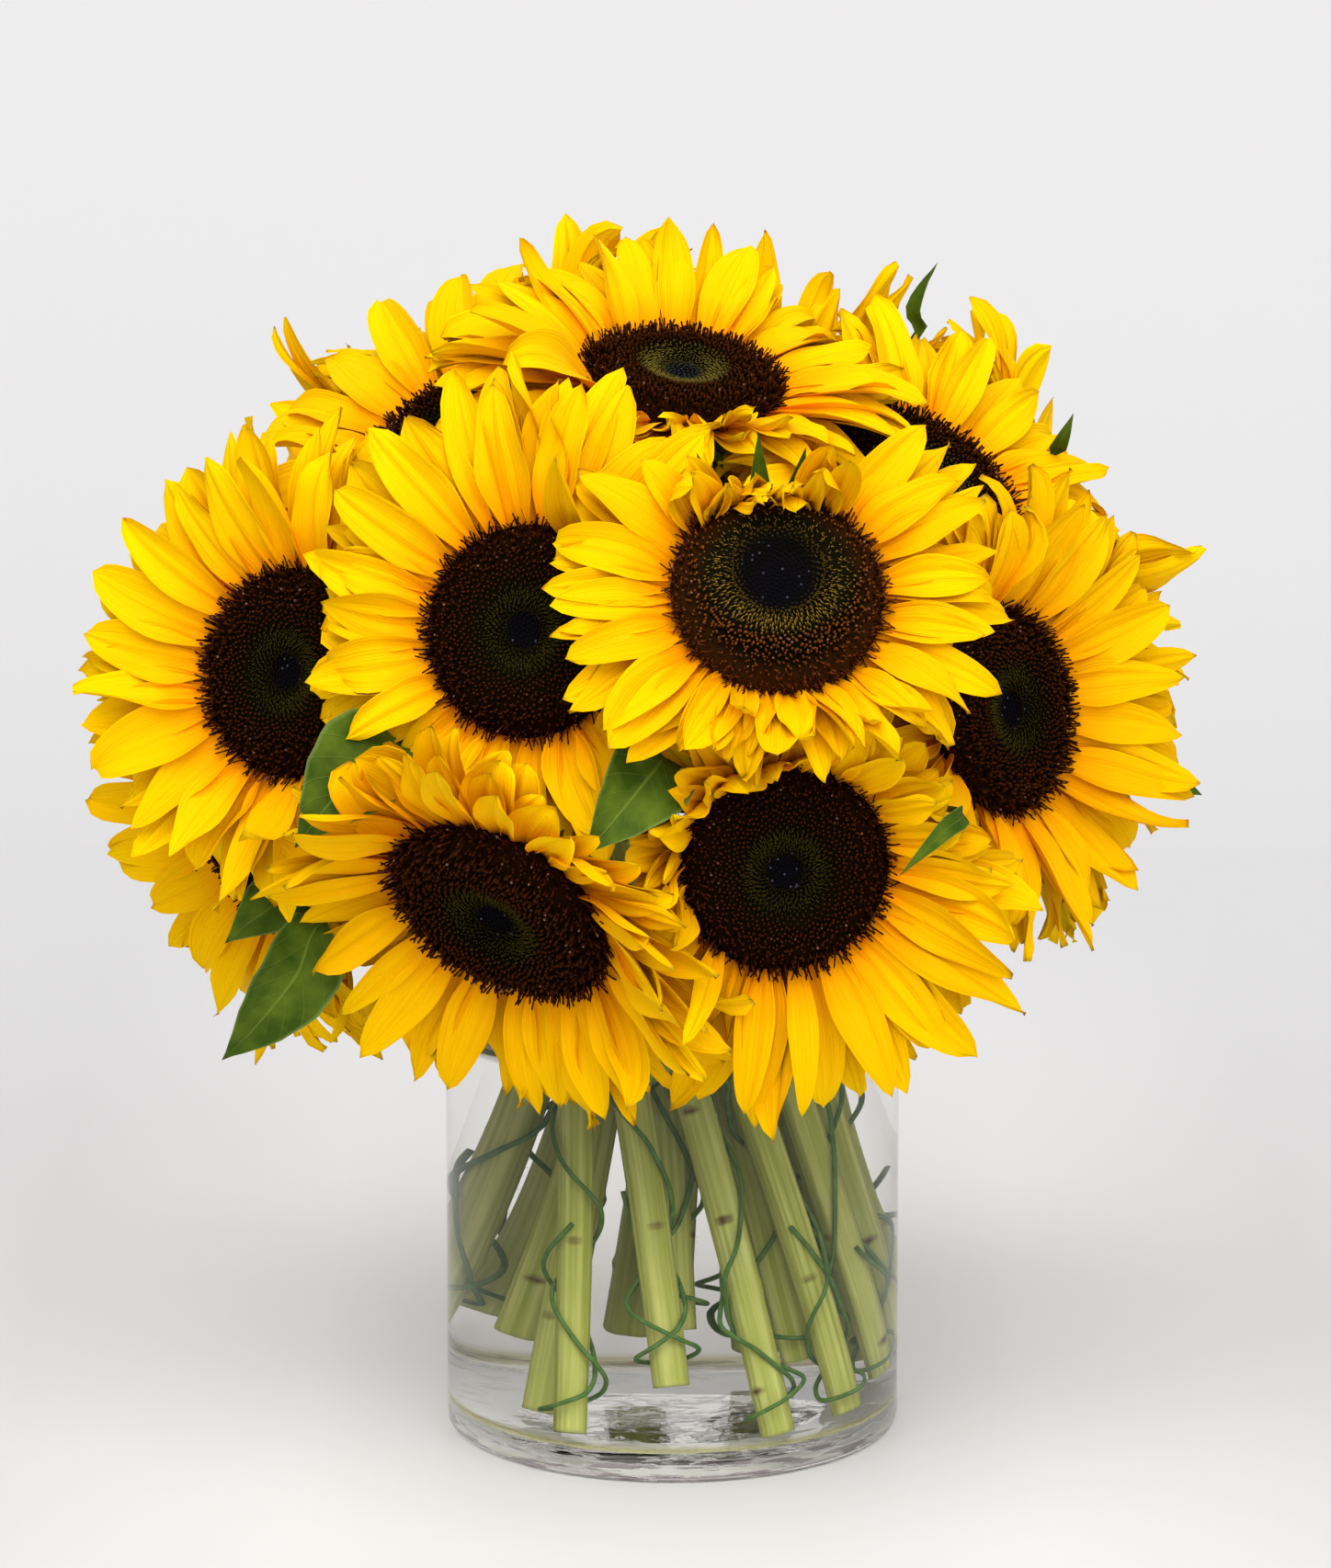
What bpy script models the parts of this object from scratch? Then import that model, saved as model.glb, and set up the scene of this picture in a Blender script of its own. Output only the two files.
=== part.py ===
"""Sunflowers in a clear glass cylinder vase, built as named solids in one frame.

Run with: blender --background --python part.py
Units are metres, +Z is up. The origin is the middle of the vase's flat underside, -Y is the front.

Every bloom is three solids: a ring of yellow petals, a dark disc of florets, and a green stem with
its cup of bracts and its leaves. The stems cross in a spiral above the rim and fan out in the water.
"""
import math
import random

import bpy
import numpy as np
from mathutils import Matrix
from mathutils.bvhtree import BVHTree

# Clearance kept between touching pieces
GAP = 0.0003

# Vase and water
VASE_RADIUS = 0.075
VASE_HEIGHT = 0.150
VASE_WALL = 0.004
VASE_FLOOR = 0.010
FOOT_ROUND = 0.005
INNER_ROUND = 0.002
RIM_ROUND = 0.001
WATER_LEVEL = 0.138
VASE_SIDES = 26
HOLE_GAP = 0.0004
HOLE_DEEPER = 0.0005
WIRED_HOLE_SIDES = 8

# Bundle of stems: height of the tie, and for each of its two rings the radius there, how far the cut
# ends spread beyond it, how steeply the stems lean sideways, and how uneven spread and lean are: on
# the side of STEEPEST the stems lean more and spread less
TIE_HEIGHT = 0.165
OUTER_RING = {"radius": 0.031, "spread": 0.024, "lean": 0.17, "uneven": 0.010}
INNER_RING = {"radius": 0.0135, "spread": 0.026, "lean": 0.13, "uneven": 0.0}
STEEPEST = math.radians(20)
STEM_RADIUS = 0.0056
NECK_RADIUS = 0.0047
STEM_SIDES = 6
STEM_STEPS_BELOW = 3
STEM_STEPS_ABOVE = 14

# Upper stems: how far the ends of a stem's curve pull, the clearances that they are pushed to, and
# the shares of each push and of the smoothing taken in a step
CURVE_PULL = 0.36
NECK_PULL = 0.04
STEM_CLEARANCE = 0.0128
HEAD_CLEARANCE = 0.043
HEAD_BALL_DEPTH = 0.008
STEM_PUSH = 0.4
HEAD_PUSH = 0.5
STEM_SMOOTHING = 0.25
RELAX_STEPS = 220

# Flower head, in its own frame with the disc's rim in the plane z = 0 and z pointing out of the face
DISC_RADIUS = 0.034
DISC_SIDES = 14
DISC_UNDER = -0.0036
DISC_BEVEL = 0.0018
DOME = [(1.00, -0.0006), (0.84, 0.0042), (0.55, 0.0058), (0.26, 0.0030)]
DOME_MIDDLE = 0.0015
DOME_RELIEF = 0.0007
RING_TOP = DISC_UNDER - GAP
RING_THICK = 0.0012
RING_INNER = 0.028
RING_OUTER = 0.0345
CUP_TOP = RING_TOP - RING_THICK - GAP
CUP_PROFILE = [(CUP_TOP, 0.0310), (-0.0095, 0.0265), (-0.0160, 0.0150)]
NECK_DEPTH = 0.022
BRACTS = 12
BRACT_REACH = 0.0405
BRACT_DROP = -0.0105

# Petals: sections as (share of the length, share of the half width), the first free section beyond
# the root, slopes of root and end in degrees, how much both fall on a head that faces up, what the
# two ranks add to them, random ranges, and the clearances to other nodes and to the same ring
PETAL_LENGTH = 0.043
PETAL_WIDTH = 0.0152
PETAL_THICK = 0.0012
PETAL_STATIONS = [(0.40, 0.97), (0.76, 0.72)]
FREE_STATION = (0.16, 0.72)
PETAL_RISE = (14.0, 2.0)
PETAL_SAG = (8.0, 28.0)
RANK_LIFTS = (-5.0, 7.0)
PETAL_LENGTHS = (0.92, 1.06)
PETAL_WIDTHS = (0.92, 1.05)
PETAL_FLUTTER = 9.0
PETAL_LEAN = 0.06
PETAL_FOLD = 0.16
CLEAR_OTHERS = 0.0006
CLEAR_OWN = 0.0004

# Leaves: sections of the blade as (share of the way from foot to tip, share of the half width)
LEAF_THICK = 0.0012
LEAF_FOLD = 0.28
STALK_HALF = 0.0011
LEAF_STATIONS = [(0.20, 0.91), (0.50, 0.82), (0.78, 0.38)]

# Binding wire
WIRE_RADIUS = 0.0008
WIRE_PITCH = 0.064
WIRE_STEPS = 8
WIRE_SIDES = 4
WIRE_ABOVE_CUT = 0.008
WIRE_BELOW_TIE = 0.012

# Blooms, in the order in which their petals are laid: middle of the disc, the way it faces (degrees
# round from the front, degrees above level), place in the bundle (ring, degrees round), height of
# the cut end and number of petals. Rise lifts all petals, in degrees. Pressed sectors of the ring:
# the turn of the sector's middle, half its range, what it adds to the slope and its factor of
# length. Droop: how far its own weight lowers a petal's tip.
BLOOMS = [
    dict(name="low_left", middle=(-0.055, -0.122, 0.206), facing=(-32, -35), place=("outer", -34),
         cut=0.030, petals=20, size=1.12, droop=0.012,
         pressed=[(112, 48, -26, 0.78), (48, 42, -16, 0.70), (0, 30, 0, 0.85)]),
    dict(name="low_right", middle=(0.035, -0.130, 0.222), facing=(8, -4), place=("outer", 18),
         cut=0.014, petals=20, droop=0.003,
         pressed=[(100, 60, 30, 0.74), (172, 48, 26, 0.72), (-80, 75, -4, 1.22), (-10, 45, 0, 1.15)]),
    dict(name="centre_right", middle=(0.033, -0.124, 0.310), facing=(8, 33), place=("inner", 36),
         cut=0.030, petals=20, pressed=[(92, 40, 60, 0.60), (-88, 58, 26, 0.76), (0, 50, 6, 0.95)]),
    dict(name="centre_left", middle=(-0.046, -0.112, 0.295), facing=(-20, 16), place=("outer", -8),
         cut=0.0120, petals=20, pressed=[(104, 66, 0, 1.20), (228, 26, 0, 0.76)]),
    dict(name="right", middle=(0.107, -0.050, 0.255), facing=(52, 12), place=("outer", 45),
         cut=0.020, petals=20, rise=8, pressed=[(0, 70, 14, 1.10), (-90, 60, 0, 1.10)]),
    dict(name="left", middle=(-0.1225, -0.062, 0.270), facing=(-35, 14), place=("outer", -60),
         cut=0.0125, petals=20, rise=6, pressed=[(180, 80, 6, 0.96), (90, 50, 4, 1.05)]),
    dict(name="top", middle=(0.003, -0.030, 0.360), facing=(26, 74), place=("inner", -24),
         cut=0.045, petals=20, rise=6, pressed=[(90, 75, 26, 1.05), (-80, 60, 22, 0.72)]),
    dict(name="upper_right", middle=(0.081, -0.030, 0.324), facing=(48, 50), place=("inner", 96),
         cut=0.038, petals=18, rise=8, pressed=[(90, 70, 8, 1.08), (-120, 60, 28, 0.70)]),
    dict(name="upper_left", middle=(-0.068, -0.030, 0.340), facing=(-50, 58), place=("inner", -84),
         cut=0.013, petals=18, rise=12, pressed=[(120, 90, 6, 1.20), (-60, 70, 24, 0.85)]),
    dict(name="far_low_left", middle=(-0.136, -0.018, 0.206), facing=(-58, -16), place=("outer", -132),
         cut=0.028, petals=18, rise=8, pressed=[(-60, 60, 0, 1.10)]),
    dict(name="far_right", middle=(0.122, 0.036, 0.298), facing=(92, 25), place=("outer", 97),
         cut=0.020, petals=18, rise=18, pressed=[(180, 80, 8, 1.10)]),
    dict(name="top_back_left", middle=(-0.052, 0.050, 0.350), facing=(-150, 62), place=("inner", -144),
         cut=0.030, petals=16, rise=38),
    dict(name="top_back_right", middle=(0.036, 0.060, 0.344), facing=(150, 62), place=("inner", 156),
         cut=0.040, petals=16, rise=38),
    dict(name="back_left", middle=(-0.120, 0.034, 0.308), facing=(-90, 34), place=("outer", -158),
         cut=0.030, petals=16, rise=20),
    dict(name="low_far_right", middle=(0.125, 0.028, 0.222), facing=(95, -6), place=("outer", 71),
         cut=0.026, petals=16, rise=14),
    dict(name="back_middle", middle=(-0.012, 0.125, 0.285), facing=(-175, 18), place=("outer", 150),
         cut=0.018, petals=16, rise=8),
    dict(name="back_low_left", middle=(-0.082, 0.105, 0.212), facing=(-143, -8), place=("outer", 176),
         cut=0.024, petals=16, rise=8),
    dict(name="back_low_right", middle=(0.062, 0.114, 0.215), facing=(150, -8), place=("outer", 123),
         cut=0.015, petals=16, rise=8),
]

# Leaves: bloom whose stem bears it, share of the way up from the tie, foot of the blade, tip, half
# width and the way its face looks
LEAVES = [
    ("left", 0.66, (-0.088, -0.106, 0.258), (-0.120, -0.124, 0.227), 0.0165, (-0.3, -1, 0.3)),
    ("centre_left", 0.52, (-0.003, -0.136, 0.260), (-0.028, -0.158, 0.233), 0.0140, (0.1, -1, 0.2)),
    ("far_low_left", 0.60, (-0.112, -0.066, 0.202), (-0.145, -0.066, 0.181), 0.0110, (-0.3, -1, 0.6)),
    ("low_left", 0.45, (-0.110, -0.082, 0.194), (-0.146, -0.074, 0.144), 0.0130, (0.3, -1, 0.1)),
    ("low_far_right", 0.60, (0.150, -0.012, 0.222), (0.174, -0.006, 0.216), 0.0050, (0.3, -1, 0.8)),
    ("right", 0.62, (0.092, -0.122, 0.238), (0.071, -0.146, 0.223), 0.0026, (0.2, -1, 0.5)),
    ("far_right", 0.70, (0.124, 0.010, 0.326), (0.131, 0.004, 0.342), 0.0022, (0.2, -1, 0.3)),
    ("top_back_right", 0.80, (0.080, 0.030, 0.362), (0.087, 0.026, 0.388), 0.0019, (-0.9, -0.6, 0.2)),
    ("back_left", 0.60, (-0.140, 0.030, 0.275), (-0.165, 0.012, 0.258), 0.0140, (-0.4, -1, 0.4)),
    ("back_low_left", 0.50, (-0.110, 0.080, 0.210), (-0.130, 0.060, 0.182), 0.0130, (-1, 0.3, 0.3)),
    ("back_low_right", 0.50, (0.012, 0.128, 0.250), (-0.006, 0.146, 0.222), 0.0130, (0, 1, 0.2)),
    ("back_middle", 0.60, (0.040, 0.120, 0.310), (0.066, 0.136, 0.286), 0.0150, (0.3, 1, 0.3)),
    ("back_middle", 0.45, (-0.050, 0.114, 0.262), (-0.076, 0.122, 0.236), 0.0130, (-0.3, 1, 0.3)),
    ("top_back_right", 0.62, (0.070, 0.100, 0.310), (0.088, 0.116, 0.282), 0.0130, (0.5, 1, 0.3)),
]

# Blooms whose stems are wound with wire
WIRED = ["centre_left", "low_left", "low_right", "far_low_left"]

# Linear colour, roughness, metallic, transmission
COLOURS = {
    "petal_yellow": ((0.90, 0.46, 0.005), 0.55, 0.0, 0.0),
    "disc_brown": ((0.022, 0.008, 0.004), 0.80, 0.0, 0.0),
    "stem_green": ((0.20, 0.28, 0.06), 0.60, 0.0, 0.0),
    "vase_glass": ((0.95, 0.97, 0.96), 0.02, 0.0, 1.0),
    "water": ((0.92, 0.95, 0.93), 0.02, 0.0, 1.0),
    "wire_green": ((0.015, 0.07, 0.035), 0.40, 0.0, 0.0),
}


def material(name):
    """The material of that name, made on first use."""
    found = bpy.data.materials.get(name)
    if found:
        return found
    colour, roughness, metallic, transmission = COLOURS[name]
    mat = bpy.data.materials.new(name)
    mat.use_nodes = True
    shader = mat.node_tree.nodes["Principled BSDF"]
    shader.inputs["Base Color"].default_value = (*colour, 1.0)
    shader.inputs["Roughness"].default_value = roughness
    shader.inputs["Metallic"].default_value = metallic
    shader.inputs["Transmission Weight"].default_value = transmission
    return mat


def add_object(name, points, faces, colour, parent=None, smooth=None):
    """One object from points and faces; smooth is the angle in degrees above which edges stay sharp."""
    mesh = bpy.data.meshes.new(name)
    mesh.from_pydata([tuple(p) for p in points], [], faces)
    mesh.materials.append(material(colour))
    if smooth is not None:
        mesh.shade_smooth()
        mesh.set_sharp_from_angle(angle=math.radians(smooth))
    obj = bpy.data.objects.new(name, mesh)
    bpy.context.scene.collection.objects.link(obj)
    obj.parent = parent
    return obj


def boolean(obj, others, operation):
    """Apply one Boolean with a collection of other objects, then remove them."""
    group = bpy.data.collections.new(obj.name + "_others")
    bpy.context.scene.collection.children.link(group)
    for other in others:
        bpy.context.scene.collection.objects.unlink(other)
        group.objects.link(other)
    modifier = obj.modifiers.new("join", "BOOLEAN")
    modifier.operation = operation
    modifier.operand_type = "COLLECTION"
    modifier.collection = group
    bpy.context.view_layer.update()
    result = bpy.data.meshes.new_from_object(obj.evaluated_get(bpy.context.evaluated_depsgraph_get()))
    obj.modifiers.remove(modifier)
    obj.data = result
    for other in others:
        bpy.data.objects.remove(other)
    bpy.data.collections.remove(group)


class Head:
    """A flower head: its middle and its axes right, up and out, as the columns of a matrix."""

    def __init__(self, name, middle, facing, place, cut, petals, size=1.0, rise=0.0, pressed=(),
                 droop=0.0):
        turn, tilt = (math.radians(a) for a in facing)
        out = np.array([math.sin(turn) * math.cos(tilt), -math.cos(turn) * math.cos(tilt), math.sin(tilt)])
        right = unit(np.cross([0, 0, 1], out))
        self.name = name
        self.middle = np.array(middle)
        self.axes = np.column_stack([right, np.cross(out, right), out])
        self.out = out
        self.ring = OUTER_RING if place[0] == "outer" else INNER_RING
        self.place = place[1]
        self.cut = cut
        self.petals = petals
        self.size = size
        self.rise = rise
        self.pressed = pressed
        self.hang = self.axes.T @ np.array([0, 0, -droop]) / size

    def world(self, points):
        """Points from the head's own frame to the world."""
        return self.middle + self.size * np.asarray(points) @ self.axes.T

    def empty(self):
        """An empty that carries the head's disc and petals."""
        empty = bpy.data.objects.new("head_" + self.name, None)
        bpy.context.scene.collection.objects.link(empty)
        rows = [[*(self.size * self.axes[row]), self.middle[row]] for row in range(3)]
        empty.matrix_world = Matrix(rows + [[0, 0, 0, 1]])
        return empty


class Solids:
    """The solids already placed, as search trees with a ball round each."""

    def __init__(self):
        self.items = []

    def add(self, points, faces, owner):
        points = np.asarray(points)
        middle = points.mean(axis=0)
        radius = np.linalg.norm(points - middle, axis=1).max()
        tree = BVHTree.FromPolygons([tuple(p) for p in points], faces)
        self.items.append((tree, middle, radius, owner))

    def add_object(self, obj, owner):
        mesh = obj.data
        points = [obj.matrix_world @ v.co for v in mesh.vertices]
        self.add(points, [tuple(p.vertices) for p in mesh.polygons], owner)

    def hit(self, points, faces, skip=None):
        """Whether a surface crosses any placed solid but those of the owner to skip."""
        middle = points.mean(axis=0)
        radius = np.linalg.norm(points - middle, axis=1).max()
        tree = None
        for other, place, reach, owner in self.items:
            if owner == skip or np.linalg.norm(place - middle) > radius + reach:
                continue
            if tree is None:
                tree = BVHTree.FromPolygons([tuple(p) for p in points], faces)
            if tree.overlap(other):
                return True
        return False


def unit(vector):
    """The vector at length 1."""
    return vector / np.linalg.norm(vector)


def lathe(profile, sides):
    """A closed turned body from (radius, height) points listed from the bottom face to the top."""
    turns = [2 * math.pi * i / sides for i in range(sides)]
    points = [(r * math.cos(a), r * math.sin(a), z) for r, z in profile for a in turns]
    faces = []
    for row in range(len(profile) - 1):
        for i in range(sides):
            j = (i + 1) % sides
            faces.append((row * sides + i, row * sides + j, (row + 1) * sides + j, (row + 1) * sides + i))
    faces.append(tuple(reversed(range(sides))))
    last = (len(profile) - 1) * sides
    faces.append(tuple(last + i for i in range(sides)))
    return points, faces


def make_vase():
    """Thin straight wall, thick floor, round foot and round rim."""
    inner = VASE_RADIUS - VASE_WALL
    slope = FOOT_ROUND * (1 - math.sqrt(0.5))
    profile = [
        (VASE_RADIUS - FOOT_ROUND, 0.0),
        (VASE_RADIUS - slope, slope),
        (VASE_RADIUS, FOOT_ROUND),
        (VASE_RADIUS, VASE_HEIGHT - RIM_ROUND),
        (VASE_RADIUS - RIM_ROUND, VASE_HEIGHT),
        (inner + RIM_ROUND, VASE_HEIGHT),
        (inner, VASE_HEIGHT - RIM_ROUND),
        (inner, VASE_FLOOR + INNER_ROUND),
        (inner - INNER_ROUND, VASE_FLOOR),
    ]
    points, faces = lathe(profile, VASE_SIDES)
    return add_object("vase", points, faces, "vase_glass", smooth=35)


def make_water(stems, wires):
    """The water, with a plain blind hole for each stem and a wider one round each wired stem."""
    inner = VASE_RADIUS - VASE_WALL - GAP
    profile = [
        (inner - INNER_ROUND, VASE_FLOOR + GAP),
        (inner, VASE_FLOOR + INNER_ROUND + GAP),
        (inner, WATER_LEVEL),
    ]
    points, faces = lathe(profile, VASE_SIDES)
    water = add_object("water", points, faces, "water", smooth=35)
    cutters = []
    for head, path in stems:
        sides, radius = STEM_SIDES, STEM_RADIUS + HOLE_GAP
        if head.name in wires:
            sides = WIRED_HOLE_SIDES
            radius = (wire_turn() + WIRE_RADIUS + HOLE_GAP) / math.cos(math.pi / sides)
        low = path[0] + unit(path[0] - path[1]) * HOLE_DEEPER
        line = np.vstack([low, path[1:STEM_STEPS_BELOW + 1]])
        points, faces = tube(line, [radius] * len(line), frame_from(head, path)[: len(line)], sides)
        cutters.append(add_object("cutter_" + head.name, points, faces, "water"))
    boolean(water, cutters, "DIFFERENCE")
    return water


def stem_below(head):
    """From the cut end up to the tie: the stem leans sideways, and outwards towards its end."""
    ring = head.ring
    turn = math.radians(head.place)
    outward = np.array([math.sin(turn), -math.cos(turn), 0.0])
    sideways = np.array([math.cos(turn), math.sin(turn), 0.0])
    deepest = TIE_HEIGHT - VASE_FLOOR
    uneven = ring["uneven"] * math.cos(turn - STEEPEST)
    lean = ring["lean"] + 10 * uneven
    line = []
    for step in range(STEM_STEPS_BELOW + 1):
        depth = (TIE_HEIGHT - head.cut) * (1 - step / STEM_STEPS_BELOW)
        reach = ring["radius"] + (ring["spread"] - uneven) * (depth / deepest) ** 1.3
        line.append(outward * reach + sideways * lean * depth + np.array([0, 0, TIE_HEIGHT - depth]))
    return np.array(line), unit(np.array([0, 0, 1.0]) - sideways * lean)


def stem_above(head, start, heading):
    """From the tie to the neck behind the head, as a Bezier curve that arrives square to the disc."""
    end = head.middle - head.out * head.size * NECK_DEPTH
    pull = CURVE_PULL * np.linalg.norm(end - start)
    handles = [start, start + heading * pull, end - head.out * min(pull, NECK_PULL), end]
    line = []
    for step in range(STEM_STEPS_ABOVE + 1):
        t = step / STEM_STEPS_ABOVE
        weights = [(1 - t) ** 3, 3 * t * (1 - t) ** 2, 3 * t * t * (1 - t), t ** 3]
        line.append(sum(w * h for w, h in zip(weights, handles)))
    return np.array(line)


def part_stems(lines, heads):
    """Push the upper stems off each other and off the heads, with both ends of each held still."""
    lines = np.array(lines)
    count, steps, _ = lines.shape
    owner = np.repeat(np.arange(count), steps)
    apart = owner[:, None] != owner[None, :]
    balls = np.array([h.middle - h.out * HEAD_BALL_DEPTH for h in heads])
    strangers = owner[:, None] != np.arange(count)[None, :]
    for _ in range(RELAX_STEPS):
        flat = lines.reshape(-1, 3)
        delta = flat[:, None] - flat[None, :]
        far = np.linalg.norm(delta, axis=2) + 1e-9
        close = np.where(apart, np.clip(STEM_CLEARANCE - far, 0, None), 0)
        push = (delta / far[..., None] * close[..., None]).sum(axis=1) * STEM_PUSH
        delta = flat[:, None] - balls[None, :]
        far = np.linalg.norm(delta, axis=2) + 1e-9
        close = np.where(strangers, np.clip(HEAD_CLEARANCE - far, 0, None), 0)
        push += (delta / far[..., None] * close[..., None]).sum(axis=1) * HEAD_PUSH
        push = push.reshape(lines.shape)
        bend = np.zeros_like(lines)
        bend[:, 1:-1] = (lines[:, 2:] + lines[:, :-2]) / 2 - lines[:, 1:-1]
        move = push + STEM_SMOOTHING * bend
        move[:, :1] = 0
        move[:, -2:] = 0
        lines = lines + move
    return lines


def frame_from(head, path):
    """Side directions along a path, carried down without twist from the head's own axes."""
    side = head.axes[:, 0]
    frames = []
    for k in range(len(path) - 1, -1, -1):
        ahead = path[min(k + 1, len(path) - 1)] - path[max(k - 1, 0)]
        ahead = unit(ahead) if k < len(path) - 1 else head.out
        side = unit(side - ahead * side.dot(ahead))
        frames.append((side, np.cross(ahead, side)))
    return frames[::-1]


def ring_points(centre, radius, frame, sides):
    """The corners of one cross-section of a tube."""
    turns = [2 * math.pi * i / sides for i in range(sides)]
    return [centre + radius * (math.cos(a) * frame[0] + math.sin(a) * frame[1]) for a in turns]


def tube(path, radii, frames, sides=STEM_SIDES):
    """A closed tube with flat ends along a path."""
    points = []
    for centre, radius, frame in zip(path, radii, frames):
        points += ring_points(centre, radius, frame, sides)
    faces = []
    for row in range(len(path) - 1):
        for i in range(sides):
            j = (i + 1) % sides
            a, b = row * sides + i, row * sides + j
            faces += [(a, b, b + sides), (a, b + sides, a + sides)]
    faces.append(tuple(reversed(range(sides))))
    last = (len(path) - 1) * sides
    faces.append(tuple(last + i for i in range(sides)))
    return points, faces


def make_stem(head, path):
    """Stem, neck and cup in one body, with a pointed bract standing out of each side of the cup."""
    radii = [STEM_RADIUS + (NECK_RADIUS - STEM_RADIUS) * k / (len(path) - 1) for k in range(len(path))]
    points, faces = tube(path, radii, frame_from(head, path))
    faces.pop()
    base = len(points) - STEM_SIDES
    rows = []
    for depth, radius in reversed(CUP_PROFILE):
        rows.append(len(points))
        turns = [2 * math.pi * i / BRACTS for i in range(BRACTS)]
        points += list(head.world([(radius * math.cos(a), radius * math.sin(a), depth) for a in turns]))
    for i in range(STEM_SIDES):
        j = (i + 1) % STEM_SIDES
        low, mid, high = rows[0] + 2 * i, rows[0] + 2 * i + 1, rows[0] + (2 * i + 2) % BRACTS
        faces += [(base + i, mid, low), (base + i, base + j, mid), (base + j, high, mid)]
    for i in range(BRACTS):
        j = (i + 1) % BRACTS
        a, b = rows[0] + i, rows[0] + j
        c, d = rows[1] + i, rows[1] + j
        e, f = rows[2] + i, rows[2] + j
        faces += [(a, b, d), (a, d, c)]
        turn = 2 * math.pi * (i + 0.5) / BRACTS
        tip = len(points)
        reach = (BRACT_REACH * math.cos(turn), BRACT_REACH * math.sin(turn), BRACT_DROP)
        points.append(head.world([reach])[0])
        faces += [(c, d, tip), (d, f, tip), (f, e, tip), (e, c, tip)]
    faces.append(tuple(rows[2] + i for i in range(BRACTS)))
    return add_object("stem_" + head.name, points, faces, "stem_green", smooth=50)


def leaf_points(start, foot, tip, half_width, facing, lift, sag):
    """Sections of a leaf: a stalk from the stem to the foot of the blade, and the blade to its tip.

    The blade lies across the way it faces, arched by lift and folded a little along its rib; the
    middle of the stalk sags by a share of its length.
    """
    span = tip - foot
    reach = np.linalg.norm(span)
    across = unit(np.cross(span, facing))
    face = unit(np.cross(across, span))
    stalk = foot - start
    middle = start + stalk / 2 - np.array([0, 0, sag * np.linalg.norm(stalk)])
    centres = [start + (middle - start) * 0.08, middle, foot]
    halves = [STALK_HALF] * 3
    for share, width in LEAF_STATIONS:
        centres.append(foot + span * share + face * lift * reach * math.sin(math.pi * share))
        halves.append(half_width * width)
    ahead = np.gradient(np.array(centres + [tip]), axis=0)
    sections = []
    for centre, half, way in zip(centres, halves, ahead):
        way = unit(way)
        side = unit(across - way * way.dot(across))
        normal = np.cross(side, way)
        edge = normal * LEAF_FOLD * half
        thick = normal * (LEAF_THICK if half > STALK_HALF else 2 * STALK_HALF) / 2
        sections.append((centre - side * half + edge, centre + thick,
                         centre + side * half + edge, centre - thick))
    return sections, tip


def blade(sections, tip):
    """A closed blade through four-cornered sections (left, top, right, bottom) to a point."""
    points = [p for section in sections for p in section] + [tip]
    faces = blade_faces([4 * k for k in range(len(sections))], len(points) - 1)
    faces += [(0, 1, 2), (0, 2, 3)]
    return np.array(points), faces


def blade_faces(rows, tip):
    """Triangles between the sections and out to the tip, split alike on both faces."""
    faces = []
    for a, b in zip(rows, rows[1:]):
        (l0, t0, r0, u0), (l1, t1, r1, u1) = range(a, a + 4), range(b, b + 4)
        faces += [(l0, l1, t1), (l0, t1, t0), (t0, t1, r0), (r0, t1, r1)]
        faces += [(l0, u1, l1), (l0, u0, u1), (u0, r0, u1), (r0, r1, u1)]
    left, top, right, under = range(rows[-1], rows[-1] + 4)
    faces += [(left, tip, top), (top, tip, right), (left, under, tip), (under, right, tip)]
    return faces


def leaf_tries():
    """Ways to lay a leaf in turn: length, narrowing, lift of the blade and sag of the stalk."""
    tries = []
    for scale, narrow in [(1, 1), (1, 0.8), (0.85, 0.8), (0.7, 0.7), (0.5, 0.6)]:
        for lift in (0.12, 0.0, 0.24):
            for sag in (0.0, 0.2, -0.2, 0.4, -0.4):
                tries.append((scale, narrow, lift, sag))
    return tries


def add_leaves(stems, solids):
    """Fuse each leaf to its stem, laid in the first way that is clear of everything else."""
    for name, share, foot, tip, half_width, facing in LEAVES:
        obj, line = stems[name]
        at = STEM_STEPS_BELOW + share * STEM_STEPS_ABOVE / 2
        low = int(at)
        start = line[low] + (line[low + 1] - line[low]) * (at - low)
        foot = np.array(foot)
        for scale, narrow, lift, sag in leaf_tries():
            end = foot + (np.array(tip) - foot) * scale
            sections, end = leaf_points(start, foot, end, half_width * narrow, facing, lift, sag)
            points, faces = blade(sections, end)
            if not solids.hit(points, faces, skip="stem_" + name):
                boolean(obj, [add_object("leaf", points, faces, "stem_green")], "UNION")
                solids.add(points, faces, "stem_" + name)
                break


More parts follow.
